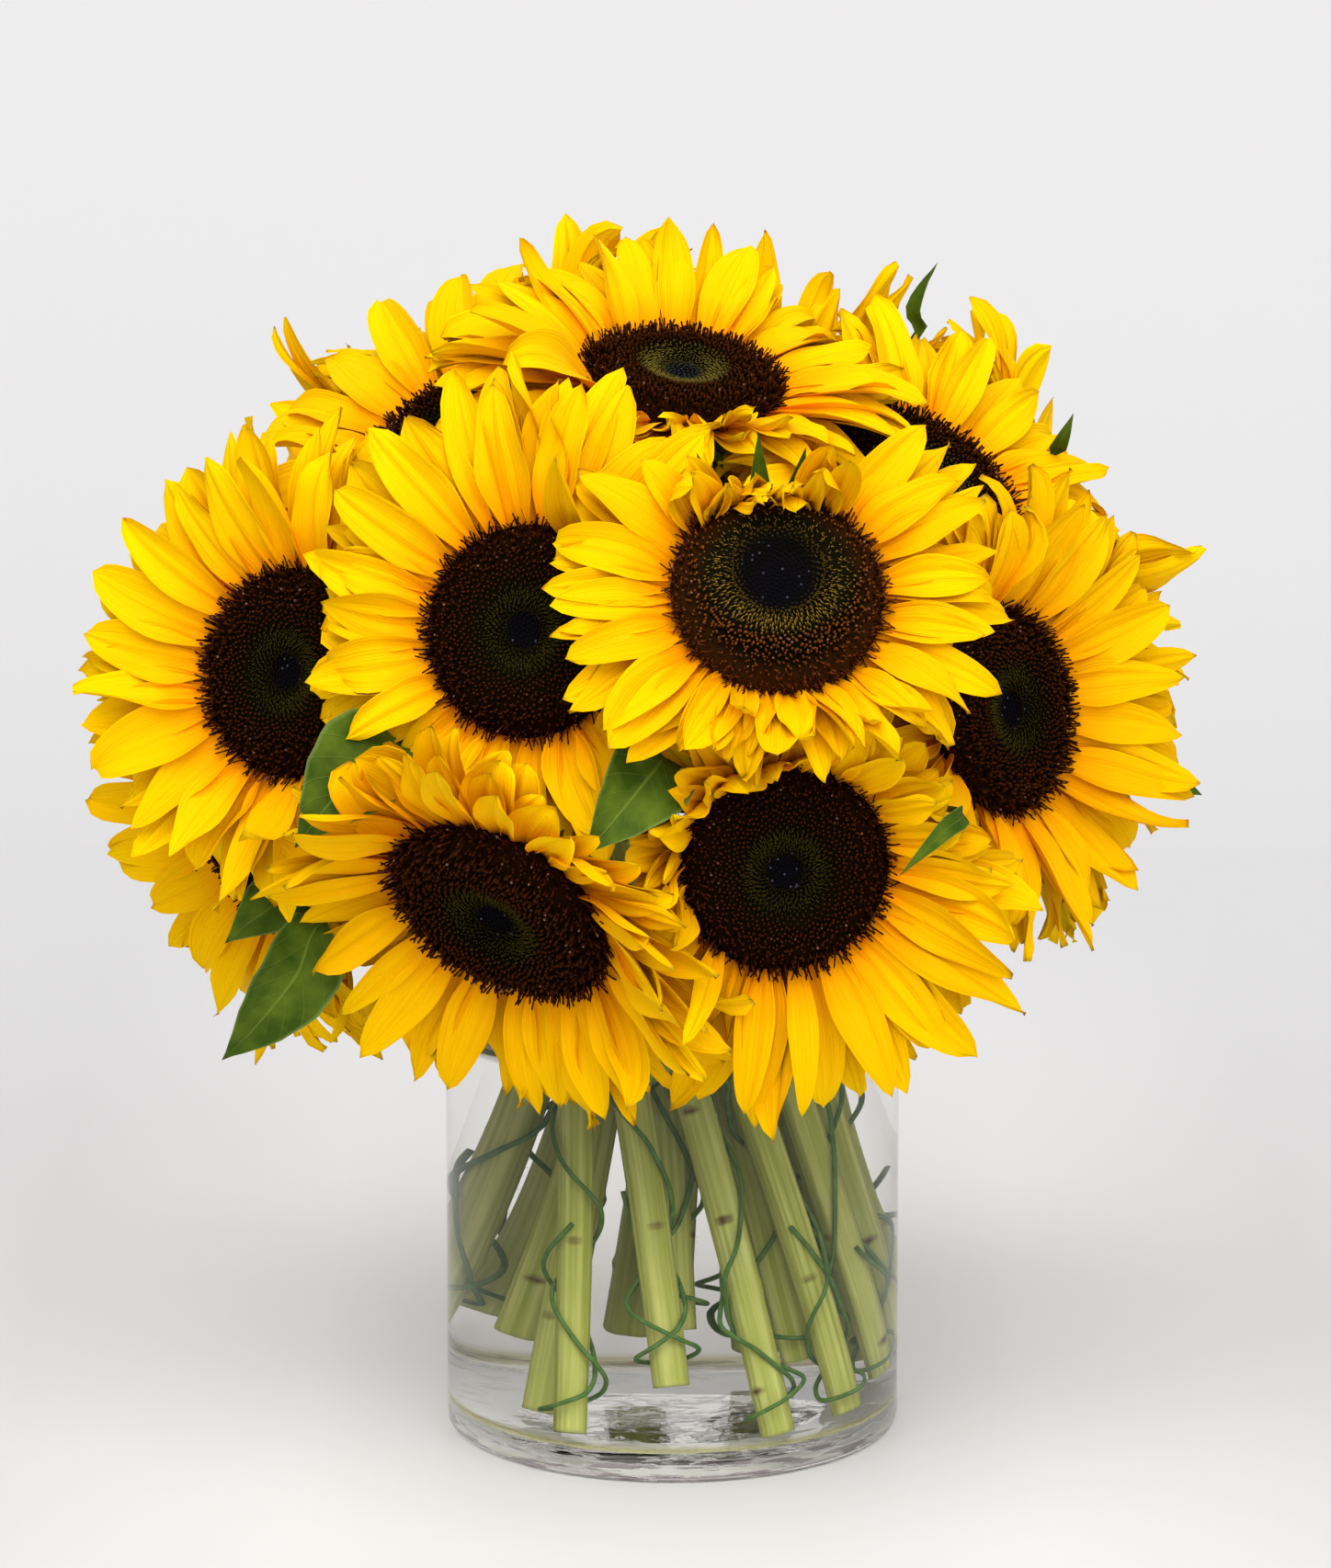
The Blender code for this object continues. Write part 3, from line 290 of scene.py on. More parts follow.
# Blooms whose stems are wound with wire in the frame, and those wound only here
WIRED = ["centre_left", "low_left", "low_right", "far_low_left"]
ALSO_WIRED = ["centre_right", "right", "left", "top", "upper_right", "far_right", "low_far_right",
              "back_middle", "back_left"]

# Colours, as linear red, green and blue; a ramp's stops are (place, colour), a pair is mixed in patches
# Petals: orange towards the root, partly their own colour and partly painted shade by the disc
PETAL_RAMP = [(0.0, (0.86, 0.21, 0.0)), (0.18, (0.94, 0.36, 0.0)), (0.45, (0.96, 0.55, 0.0)),
              (1.0, (0.97, 0.65, 0.0))]
PETAL_VEIN = (0.92, 0.70, 0.5)
# Orange laid over petals: partly their own tone, partly painted shade on blooms that lie in shade
PETAL_ORANGE_AND_SHADE = (0.76, 0.33, 0.0)
PETAL_WORN = (0.30, 0.17, 0.02)
# Feet of the florets: painted shade down between them
FLORET_EYE_FOOT_SHADE = (0.002, 0.002, 0.004)
FLORET_RING_FOOT_SHADE = (0.005, 0.004, 0.001)
FLORET_RUST = (0.130, 0.034, 0.008)
# Glints: painted highlights on a few floret tips, pale by the rim and bluish in the eye
FLORET_GLINT = (0.40, 0.20, 0.12)
FLORET_EYE_GLINT = (0.11, 0.12, 0.18)
FLORET_DARK = (0.004, 0.002, 0.001)
STEM_STREAKS = (0.31, 0.345, 0.048), (0.60, 0.61, 0.190)
STEM_PATCH = (0.35, 0.375, 0.050)
STEM_SCAR = (0.075, 0.024, 0.006)
STEM_CUT = (0.46, 0.52, 0.20)
LEAF_PATCHES = (0.030, 0.064, 0.002), (0.085, 0.138, 0.006)
LEAF_VEIN = (0.20, 0.29, 0.04)
LEAF_EDGE = (0.30, 0.40, 0.12)
LEAF_TIP = (0.03, 0.02, 0.01)
WIRE_PATCHES = (0.050, 0.125, 0.020), (0.105, 0.215, 0.050)
GLASS = (0.985, 0.985, 0.98)
GLASS_FOOT = (0.98, 0.96, 0.89)
# Glass foot: painted reflections, olive ones of the stems and dark ones of what lies round it
GLASS_STEM_REFLECTION = (0.72, 0.69, 0.44)
GLASS_DARK_REFLECTION = (0.34, 0.28, 0.31)
WATER = (0.985, 0.985, 0.965)
# Water: painted reflection of the green stems along its rounded corner
WATER_STEM_REFLECTION = (0.62, 0.60, 0.30)
# Floor: lighter and darker bands by depth, painted light and shade
FLOOR_LIGHT_AND_SHADE_RAMP = [(0.0, (0.665, 0.656, 0.650)), (0.22, (0.668, 0.660, 0.656)), (0.38, (0.642, 0.636, 0.634)),
              (0.60, (0.685, 0.679, 0.679)), (1.0, (0.712, 0.706, 0.708))]
# Painted light: a pool round the vase over the bouquet's soft shadow, and more under the vase, where light
# would come through the glass
FLOOR_LIGHT_POOL = (0.810, 0.802, 0.795)
FLOOR_LIGHT_UNDER_VASE = (0.975, 0.968, 0.950)

# Stage: half width of the floor, its level, and the backdrop's round, distance and top. Lamps: name,
# place, turns (degrees), size and power
FLOOR_REACH = 6.0
FLOOR_LEVEL = 0.0004
SWEEP_ROUND = 0.9
SWEEP_BACK = 1.7
SWEEP_TOP = 3.2
SKY = (0.99, 0.985, 1.0, 1.0)
SKY_STRENGTH = 0.64
LAMPS = [
    ("key", (-0.30, -1.5, 2.5), (35, 0, -11), 2.6, 66.0),
    ("fill", (0.9, -2.4, 1.5), (61, 0, 20), 2.6, 34.0),
]
CAMERA_PLACE = (-0.0023, -3.35, 1.02)
CAMERA_DOWN = 13.458
CAMERA_LENS = 283.23
CAMERA_SENSOR = 36.0


def unit(vector):
    return vector / np.linalg.norm(vector, axis=-1, keepdims=True)


def summed(steps):
    """Running total of the steps, from nothing."""
    return np.concatenate([[0], np.cumsum(steps)])


def distances(line):
    """How far along a line each of its points lies."""
    return summed(np.linalg.norm(np.diff(line, axis=0), axis=1))


def sample(wanted, gone, rows):
    """Rows of three numbers, known at the distances gone, read at the distances wanted."""
    return np.stack([np.interp(wanted, gone, rows[:, k]) for k in range(3)], axis=-1)


def within(turn, towards, reach):
    """1 in the middle of a sector of the ring, falling to 0 at its edges and beyond them."""
    away = abs((math.degrees(turn) - towards + 180) % 360 - 180)
    return max(0.0, 1 - (away / reach) ** 2)


def ring_axes(turn):
    """Outwards, sideways and up, at a turn round Z."""
    out = np.array([math.cos(turn), math.sin(turn), 0.0])
    side = np.array([-math.sin(turn), math.cos(turn), 0.0])
    return out, side, np.array([0, 0, 1.0])


# Meshes from arrays

class Heap:
    """Points, faces and marks of many shapes, gathered to become one piece.

    Marks are three numbers for each point, which the materials read as an attribute.
    """

    def __init__(self):
        self.points = []
        self.marks = []
        self.quads = []
        self.triangles = []
        self.count = 0

    def add(self, points, quads, triangles, marks):
        self.points.append(points)
        self.marks.append(np.broadcast_to(marks, points.shape))
        if len(quads):
            self.quads.append(np.asarray(quads) + self.count)
        if len(triangles):
            self.triangles.append(np.asarray(triangles) + self.count)
        self.count += len(points)

    def piece(self, name, material, slot, nodes=(), sharp=None):
        """The finished piece at the origin, shaded smooth, on the root body when it has a slot.

        Sharp is the angle in degrees above which edges stay sharp, as the outlines of blades do.
        """
        groups = [np.vstack(g) for g in (self.quads, self.triangles) if g]
        corners = np.concatenate([g.ravel() for g in groups]).astype(np.int32)
        counts = np.concatenate([np.full(len(g), g.shape[1]) for g in groups])
        starts = (np.cumsum(counts) - counts).astype(np.int32)
        points = np.vstack(self.points).astype(np.float32)
        mesh = bpy.data.meshes.new(name)
        mesh.vertices.add(len(points))
        mesh.vertices.foreach_set("co", points.ravel())
        mesh.loops.add(len(corners))
        mesh.loops.foreach_set("vertex_index", corners)
        mesh.polygons.add(len(starts))
        mesh.polygons.foreach_set("loop_start", starts)
        mesh.update(calc_edges=True)
        marks = mesh.attributes.new("marks", "FLOAT_VECTOR", "POINT")
        marks.data.foreach_set("vector", np.vstack(self.marks).astype(np.float32).ravel())
        mesh.shade_smooth()
        if sharp:
            mesh.set_sharp_from_angle(angle=math.radians(sharp))
        mesh.materials.append(material)
        obj = bpy.data.objects.new(name, mesh)
        bpy.context.scene.collection.objects.link(obj)
        if slot:
            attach(obj, "root")
        if nodes:
            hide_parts(*nodes)
        return obj


def grid_quads(rows, columns, wrap=False):
    """Quads of a grid numbered row by row; wrap joins the last column to the first."""
    index = np.arange(rows * columns).reshape(rows, columns)
    if wrap:
        index = np.hstack([index, index[:, :1]])
    corners = [index[:-1, :-1], index[:-1, 1:], index[1:, 1:], index[1:, :-1]]
    return np.stack(corners, axis=-1).reshape(-1, 4)


def blade_quads(rows, columns):
    """Quads of a thin closed blade: a top grid, then the inner points of the underside.

    Both faces share the points of the outline, so the blade closes along its edges.
    """
    top = np.arange(rows * columns).reshape(rows, columns)
    under = top.copy()
    under[1:-1, 1:-1] = rows * columns + np.arange((rows - 2) * (columns - 2)).reshape(rows - 2, -1)
    upper = np.stack([top[:-1, :-1], top[1:, :-1], top[1:, 1:], top[:-1, 1:]], axis=-1)
    lower = np.stack([under[:-1, :-1], under[:-1, 1:], under[1:, 1:], under[1:, :-1]], axis=-1)
    return np.vstack([upper.reshape(-1, 4), lower.reshape(-1, 4)])


def blade(centre, side, normal, half, rise, thick, across):
    """Points of a blade: centre(t) + side(t) half(t) v + normal(t) rise(t, v).

    The underside lies a thickness lower, except at the outline.
    """
    wide = half[:, None] * across[None, :]
    top = centre[:, None] + side[:, None] * wide[..., None] + normal[:, None] * rise[..., None]
    under = top[1:-1, 1:-1] - normal[1:-1, None] * thick
    return np.vstack([top.reshape(-1, 3), under.reshape(-1, 3)])


def blade_marks(along, across, tint):
    """Marks of a blade: v, t and a tint that is the blade's own."""
    rows, columns = np.meshgrid(along, across, indexing="ij")
    top = np.stack([columns, rows, np.full_like(rows, tint)], axis=-1)
    return np.vstack([top.reshape(-1, 3), top[1:-1, 1:-1].reshape(-1, 3)])


def body_faces(rows, sides):
    """Quads of a body of rings, and triangles to its two end points, which come after the rings."""
    here, there = np.arange(sides), (np.arange(sides) + 1) % sides
    top = (rows - 1) * sides
    low = np.stack([np.full(sides, rows * sides), there, here], axis=-1)
    high = np.stack([np.full(sides, rows * sides + 1), top + here, top + there], axis=-1)
    return grid_quads(rows, sides, wrap=True), np.vstack([low, high])


def turned(profile, sides):
    """A body turned about Z from (radius, height) points whose first and last lie on the axis."""
    turns = 2 * math.pi * np.arange(sides) / sides
    radii, heights = np.array(profile[1:-1]).T[..., None]
    rings = np.stack([radii * np.cos(turns), radii * np.sin(turns), heights + 0 * turns], axis=-1)
    points = np.vstack([rings.reshape(-1, 3), [0, 0, profile[0][1]], [0, 0, profile[-1][1]]])
    return points, *body_faces(len(rings), sides)


def arc(centre, radius, start, end, steps):
    """Points of a round stretch of a profile, from start to end in degrees."""
    turns = np.radians(np.linspace(start, end, steps))
    return [(centre[0] + radius * math.cos(a), centre[1] + radius * math.sin(a)) for a in turns]


def smooth_line(line, count):
    """Catmull-Rom curve through a line's points, as count points evenly spread along it."""
    line = np.asarray(line)
    padded = np.vstack([2 * line[0] - line[1], line, 2 * line[-1] - line[-2]])
    t = np.linspace(0, 1, 12, endpoint=False)[:, None]
    fine = [0.5 * (2 * b + (c - a) * t + (2 * a - 5 * b + 4 * c - d) * t ** 2
                   + (3 * b - a - 3 * c + d) * t ** 3)
            for a, b, c, d in zip(padded, padded[1:], padded[2:], padded[3:])]
    fine = np.vstack(fine + [line[-1:]])
    gone = distances(fine)
    return sample(np.linspace(0, gone[-1], count), gone, fine)


def carried_frames(line, last_ahead, last_side):
    """Two side directions at each point, carried from the line's end back without twist."""
    ahead = unit(np.gradient(line, axis=0))
    ahead[-1] = last_ahead
    sides = np.empty_like(line)
    side = last_side
    for k in range(len(line) - 1, -1, -1):
        side = unit(side - ahead[k] * side.dot(ahead[k]))
        sides[k] = side
    return sides, np.cross(ahead, sides)


def tube(line, radii, frames, sides):
    """A closed tube; radii holds one number for each point of the line, or one row of them."""
    turns = 2 * math.pi * np.arange(sides) / sides
    around = (np.cos(turns)[None, :, None] * frames[0][:, None]
              + np.sin(turns)[None, :, None] * frames[1][:, None])
    radii = np.reshape(radii, (len(line), -1, 1))
    points = (line[:, None] + radii * around).reshape(-1, 3)
    return np.vstack([points, line[0], line[-1]]), *body_faces(len(line), sides)


def single_piece(name, shape, material, slot, nodes=()):
    """A piece of one shape without marks; the shape is its points, quads and triangles."""
    heap = Heap()
    heap.add(*shape, (0, 0, 0))
    return heap.piece(name, material, slot, nodes)


# Materials

def node(tree, kind, inputs=None, **settings):
    """A shader node with its settings, and its inputs set to values or linked to sockets."""
    made = tree.nodes.new(kind)
    for key, value in settings.items():
        setattr(made, key, value)
    for key, value in (inputs or {}).items():
        if isinstance(value, bpy.types.NodeSocket):
            tree.links.new(value, made.inputs[key])
        else:
            made.inputs[key].default_value = value
    return made


def maths(tree, operation, *values):
    return node(tree, "ShaderNodeMath", dict(enumerate(values)), operation=operation).outputs[0]


def times(tree, one, other):
    return maths(tree, "MULTIPLY", one, other)


def flipped(tree, value):
    """1 less the value."""
    return maths(tree, "SUBTRACT", 1.0, value)


def mix(tree, factor, one, other, blend="MIX"):
    """Mixes two colours, each a socket or linear red, green and blue."""
    made = node(tree, "ShaderNodeMix", data_type="RGBA", blend_type=blend)
    for socket, value in zip((made.inputs[0], made.inputs[6], made.inputs[7]), (factor, one, other)):
        if isinstance(value, bpy.types.NodeSocket):
            tree.links.new(value, socket)
        elif isinstance(value, tuple):
            socket.default_value = (*value, 1.0)
        else:
            socket.default_value = value
    return made.outputs[2]


def ramp(tree, value, stops):
    """A colour ramp with (place, colour) stops."""
    made = node(tree, "ShaderNodeValToRGB", {"Fac": value})
    elements = made.color_ramp.elements
    while len(elements) < len(stops):
        elements.new(0.5)
    for element, (place, colour) in zip(elements, stops):
        element.position = place
        element.color = (*colour, 1.0)
    return made.outputs["Color"]


def stretch(tree, value, low, high):
    """The value stretched so that low becomes 0 and high becomes 1, and kept between them."""
    return node(tree, "ShaderNodeMapRange", {0: value, 1: low, 2: high}).outputs[0]


def parts(tree, vector):
    """The three numbers of a vector."""
    return tuple(node(tree, "ShaderNodeSeparateXYZ", {0: vector}).outputs)


def attribute(tree, name):
    """A vector attribute, and its three numbers."""
    vector = node(tree, "ShaderNodeAttribute", attribute_name=name).outputs["Vector"]
    return vector, *parts(tree, vector)


def scaled(tree, vector, factors):
    made = node(tree, "ShaderNodeVectorMath", {0: vector, 1: factors}, operation="MULTIPLY")
    return made.outputs[0]


def from_axis(tree, place):
    """How far a place lies from the Z axis."""
    flat = scaled(tree, place, (1.0, 1.0, 0.0))
    return node(tree, "ShaderNodeVectorMath", {0: flat}, operation="LENGTH").outputs["Value"]


def over(tree, shade, mask, strength, colour):
    """A colour laid over a shade where the mask says, at a strength."""
    return mix(tree, times(tree, mask, strength), shade, colour)


def new_group(name, inputs, output):
    """An empty shader group with float or vector inputs and one float output."""
    group = bpy.data.node_groups.new(name, "ShaderNodeTree")
    for label, kind in inputs:
        group.interface.new_socket(label, in_out="INPUT", socket_type=kind)
    group.interface.new_socket(output, in_out="OUTPUT", socket_type="NodeSocketFloat")
    return group, group.nodes.new("NodeGroupInput").outputs, group.nodes.new("NodeGroupOutput").inputs


def make_vein_group():
    """Fine lines that run from root to tip of a blade: noise squeezed along t."""
    labels = ("Across", "Along", "Tint", "Lines")
    group, given, put = new_group("fine_veins", [(k, "NodeSocketFloat") for k in labels], "Veins")
    wide = times(group, given["Across"], given["Lines"])
    far = times(group, given["Along"], 1.6)
    other = times(group, given["Tint"], 61.0)
    place = node(group, "ShaderNodeCombineXYZ", {0: wide, 1: far, 2: other}).outputs[0]
    noise = node(group, "ShaderNodeTexNoise", {"Vector": place, "Scale": 1.0, "Detail": 2.0})
    group.links.new(stretch(group, noise.outputs[0], 0.36, 0.64), put["Veins"])
    return group


def make_mottle_group():
    """Soft patches: noise on a vector, stretched between two levels."""
    group, given, put = new_group("soft_mottle", [
        ("Vector", "NodeSocketVector"), ("Scale", "NodeSocketFloat"), ("Low", "NodeSocketFloat"),
        ("High", "NodeSocketFloat")], "Patches")
    noise = node(group, "ShaderNodeTexNoise", {"Vector": given["Vector"], "Scale": given["Scale"],
                                               "Detail": 4.0})
    group.links.new(stretch(group, noise.outputs[0], given["Low"], given["High"]), put["Patches"])
    return group


VEINS = make_vein_group()
MOTTLE = make_mottle_group()


def veins(tree, across, along, tint, lines):
    given = {"Across": across, "Along": along, "Tint": tint, "Lines": lines}
    return node(tree, "ShaderNodeGroup", given, node_tree=VEINS).outputs[0]


def mottle(tree, vector, scale, low, high):
    given = {"Vector": vector, "Scale": scale, "Low": low, "High": high}
    return node(tree, "ShaderNodeGroup", given, node_tree=MOTTLE).outputs[0]


def object_place(tree):
    return node(tree, "ShaderNodeTexCoord").outputs["Object"]


def new_material(name, roughness, specular=0.5):
    mat = bpy.data.materials.new(name)
    mat.use_nodes = True
    shader = mat.node_tree.nodes["Principled BSDF"]
    shader.inputs["Roughness"].default_value = roughness
    shader.inputs["Specular IOR Level"].default_value = specular
    return mat, mat.node_tree, shader


def paint(tree, shader, shade):
    tree.links.new(shade, shader.inputs["Base Color"])


def bump(tree, shader, height, strength, distance):
    made = node(tree, "ShaderNodeBump", {"Height": height, "Strength": strength, "Distance": distance})
    tree.links.new(made.outputs[0], shader.inputs["Normal"])


def petal_material():
    """Golden yellow, orange at the root, partly its own colour and partly painted shade where the root sits
    by the disc, with two grooves and fine veins, each petal a little different.
    """
    mat, tree, shader = new_material("golden_petal", 0.6, 0.02)
    _, across, along, tint = attribute(tree, "marks")
    lines = veins(tree, across, along, tint, 12.0)
    # Orange towards the root: partly the petal's own colour, partly painted shade by the disc
    base = ramp(tree, along, PETAL_RAMP)
    darker = mix(tree, 1.0, base, PETAL_VEIN, blend="MULTIPLY")
    shade = over(tree, base, lines, 0.24, darker)
    # More orange by the tint: a random tone of each petal, plus painted shade on the blooms that lie in
    # shade
    shade = over(tree, shade, tint, 0.42, PETAL_ORANGE_AND_SHADE)
    worn = times(tree, stretch(tree, along, 0.965, 1.0), stretch(tree, tint, 0.5, 0.7))
    paint(tree, shader, over(tree, shade, worn, 0.7, PETAL_WORN))
    groove = maths(tree, "COSINE", times(tree, across, 13.0))
    bump(tree, shader, maths(tree, "ADD", lines, times(tree, groove, 0.8)), 0.45, 0.0005)
    return mat


def dimmed(colour, share):
    return tuple(share * c for c in colour)


def disc_material(name, look):
    """Florets by their share of the radius: the eye, a ring of strands, a band, dark pins; painted shade at
    their feet and painted glints on a few tips.
    """
    mat, tree, shader = new_material(name, 0.85, 0.01)
    _, share, height, tint = attribute(tree, "marks")
    near, far = look["ring"]
    eye, strands, band = look["eye"], look["strands"], look["band"]
    # Darker towards the florets' feet: painted shade down between the florets
    low = ramp(tree, share, [(0.0, FLORET_EYE_FOOT_SHADE), (far, FLORET_RING_FOOT_SHADE), (1.0, dimmed(band, 0.22))])
    tip = ramp(tree, share, [
        (0.0, eye), (near * 0.6, dimmed(eye, 0.8)), (near, dimmed(strands, 0.25)),
        ((near + far) / 2, strands), (far, strands), (far + 0.06, band), (0.88, band), (1.0, look["pins"])])
    shade = mix(tree, stretch(tree, height, 0.35, 0.95), low, tip)
    rusty = times(tree, stretch(tree, tint, 0.80, 0.95), stretch(tree, share, 0.6, 0.8))
    shade = over(tree, shade, rusty, 0.6, FLORET_RUST)
    # Painted glints on a few floret tips: pale ones by the rim, bluish ones in the eye
    glint = times(tree, stretch(tree, tint, 0.955, 0.97), stretch(tree, height, 0.8, 0.95))
    shade = over(tree, shade, glint, stretch(tree, share, 0.6, 0.75), FLORET_GLINT)
    shade = over(tree, shade, glint, flipped(tree, stretch(tree, share, 0.2, 0.34)), FLORET_EYE_GLINT)
    paint(tree, shader, over(tree, shade, tint, 0.45, FLORET_DARK))
    return mat


def stem_material():
    """Fresh green with pale streaks along it, brown scars, and a pale cut end."""
    mat, tree, shader = new_material("fresh_stem", 0.6, 0.15)
    grain, *_ = attribute(tree, "marks")
    streaks = mottle(tree, scaled(tree, grain, (3.2, 3.2, 9.0)), 1.0, 0.35, 0.65)
    patches = mottle(tree, object_place(tree), 45.0, 0.35, 0.65)
    shade = mix(tree, streaks, *STEM_STREAKS)
    shade = over(tree, shade, patches, 0.5, STEM_PATCH)
    _, scar, cut, _ = attribute(tree, "spots")
    shade = mix(tree, stretch(tree, scar, 0.25, 0.75), shade, STEM_SCAR)
    paint(tree, shader, mix(tree, cut, shade, STEM_CUT))
    bump(tree, shader, streaks, 0.35, 0.0005)
    return mat


def leaf_material():
    """Mid green blade with a pale rib, slanting side veins and soft patches."""
    mat, tree, shader = new_material("leaf_green", 0.6, 0.10)
    _, across, along, _ = attribute(tree, "marks")
    wide = maths(tree, "ABSOLUTE", across)
    rib = flipped(tree, stretch(tree, wide, 0.015, 0.06))
    slant = maths(tree, "SUBTRACT", times(tree, along, 7.0), times(tree, wide, 1.7))
    saw = maths(tree, "ABSOLUTE", maths(tree, "SUBTRACT", maths(tree, "FRACT", slant), 0.5))
    vein = maths(tree, "MAXIMUM", rib, times(tree, stretch(tree, saw, 0.45, 0.5), 0.6))
    patches = mottle(tree, object_place(tree), 90.0, 0.35, 0.65)
    shade = mix(tree, patches, *LEAF_PATCHES)
    shade = over(tree, shade, vein, 0.4, LEAF_VEIN)
    shade = over(tree, shade, stretch(tree, wide, 0.90, 1.0), 0.35, LEAF_EDGE)
    paint(tree, shader, over(tree, shade, stretch(tree, along, 0.93, 0.99), 0.8, LEAF_TIP))
    bump(tree, shader, maths(tree, "SUBTRACT", patches, vein), 0.5, 0.0007)
    return mat


def wire_material():
    """Dull green lacquer."""
    mat, tree, shader = new_material("green_wire", 0.5, 0.1)
    paint(tree, shader, mix(tree, mottle(tree, object_place(tree), 300.0, 0.3, 0.7), *WIRE_PATCHES))
    return mat


def clear_material(name, colour, ior, mirror):
    """Clear glass or water; little light is lost on the way to what stands inside.

    Mirror is the share kept of the reflection at right angles.
    """
    mat, tree, shader = new_material(name, 0.0)
    shader.inputs["Specular Tint"].default_value = (mirror, mirror, mirror, 1.0)
    shader.inputs["Base Color"].default_value = (*colour, 1.0)
    shader.inputs["IOR"].default_value = ior
    shader.inputs["Transmission Weight"].default_value = 1.0
    shadow = node(tree, "ShaderNodeLightPath").outputs["Is Shadow Ray"]
    tree.links.new(flipped(tree, times(tree, shadow, 0.94)), shader.inputs["Alpha"])
    return mat, tree, shader


def glass_material():
    """Clear glass with a thick, faintly tinted foot and streaks that the mould pressed in it; its olive
    patches are painted reflections of the green stems, and its dark streaks and the dark line at its lower
    edge are painted dark reflections.
    """
    mat, tree, shader = clear_material("clear_glass", GLASS, 1.5, 0.25)
    place = object_place(tree)
    height = parts(tree, place)[2]
    flat = scaled(tree, place, (1.0, 1.0, 9.0))
    foot = flipped(tree, stretch(tree, height, 0.0085, 0.0115))
    pressed = times(tree, mottle(tree, flat, 60.0, 0.50, 0.58), foot)
    # Painted reflection of the green stems in the foot
    olive = times(tree, mottle(tree, flat, 38.0, 0.50, 0.62), foot)
    rim = flipped(tree, stretch(tree, height, 0.0006, 0.0024))
    shade = over(tree, GLASS, foot, 0.6, GLASS_FOOT)
    shade = over(tree, shade, olive, 0.5, GLASS_STEM_REFLECTION)
    # Painted dark reflections on the pressed streaks and along the foot's lower edge
    dark = maths(tree, "MAXIMUM", pressed, times(tree, rim, 0.7))
    paint(tree, shader, mix(tree, dark, shade, GLASS_DARK_REFLECTION))
    bump(tree, shader, pressed, 0.3, 0.0010)
    return mat


def water_material():
    """Clear water, with a painted reflection of the green stems in olive along the rounded corner of the
    floor.
    """
    mat, tree, shader = clear_material("clear_water", WATER, 1.333, 0.02)
    place = object_place(tree)
    height = parts(tree, place)[2]
    low = flipped(tree, stretch(tree, height, VASE_FLOOR + 0.0018, VASE_FLOOR + 0.0040))
    # The rounded corner of the floor, where the stems' painted reflection lies
    corner = times(tree, low, stretch(tree, from_axis(tree, place), 0.0645, 0.0670))
    paint(tree, shader, mix(tree, corner, WATER, WATER_STEM_REFLECTION))
    return mat


def floor_material(name):
    """Warm white, with painted light and shade: lighter and darker bands by depth, a painted pool of light
    round the vase over the bouquet's soft shadow, and painted light under the vase, where light would come
    through the glass.
    """
    mat, tree, shader = new_material(name, 0.6, 0.3)
    place = object_place(tree)
    across, depth, _ = parts(tree, place)
    # Lighter and darker bands by depth: painted light and shade
    shade = ramp(tree, stretch(tree, depth, -0.4, 1.7), FLOOR_LIGHT_AND_SHADE_RAMP)
    # Painted pool of light round the vase, over the bouquet's soft shadow
    light_pool = flipped(tree, stretch(tree, maths(tree, "ABSOLUTE", across), 0.12, 0.22))
    light_pool = times(tree, light_pool, stretch(tree, depth, -0.35, -0.05))
    light_pool = times(tree, light_pool, flipped(tree, stretch(tree, depth, 0.3, 0.7)))
    shade = mix(tree, light_pool, shade, FLOOR_LIGHT_POOL)
    # Painted light under the vase, where light would come through the glass
    under = flipped(tree, stretch(tree, from_axis(tree, place), 0.068, 0.076))
    paint(tree, shader, mix(tree, under, shade, FLOOR_LIGHT_UNDER_VASE))
    return mat


def backdrop_material():
    """The floor's colours, with their painted light and shade, but see-through from behind, so the vase
    shows from every side.
    """
    mat = floor_material("pale_backdrop")
    tree = mat.node_tree
    behind = node(tree, "ShaderNodeNewGeometry").outputs["Backfacing"]
    clear = node(tree, "ShaderNodeBsdfTransparent").outputs[0]
    painted = tree.nodes["Principled BSDF"].outputs[0]
    both = node(tree, "ShaderNodeMixShader", {0: behind, 1: painted, 2: clear})
    tree.links.new(both.outputs[0], tree.nodes["Material Output"].inputs["Surface"])
    return mat


# Heads and stems

@dataclass
class Head:
    """A flower head, as its row of BLOOMS says; axes holds right, up and out as columns."""

    name: str
    middle: tuple
    facing: tuple
    place: tuple
    cut: float
    petals: int
    size: float = 1.0
    rise: float = 0.0
    pressed: tuple = ()
    droop: float = 0.0
    orange_and_shade: float = 0.0
    clear: float = 0.029
    wide: float = 1.0
    sepals: tuple = None
    look: str = "dark_florets"

    def __post_init__(self):
        turn, tilt = (math.radians(a) for a in self.facing)
        level = math.cos(tilt)
        self.out = np.array([math.sin(turn) * level, -math.cos(turn) * level, math.sin(tilt)])
        right = unit(np.cross([0, 0, 1], self.out))
        self.axes = np.column_stack([right, np.cross(self.out, right), self.out])
        self.middle = np.array(self.middle)

    def world(self, points):
        """Points from the head's own frame to the world."""
        return self.middle + self.size * np.asarray(points) @ self.axes.T


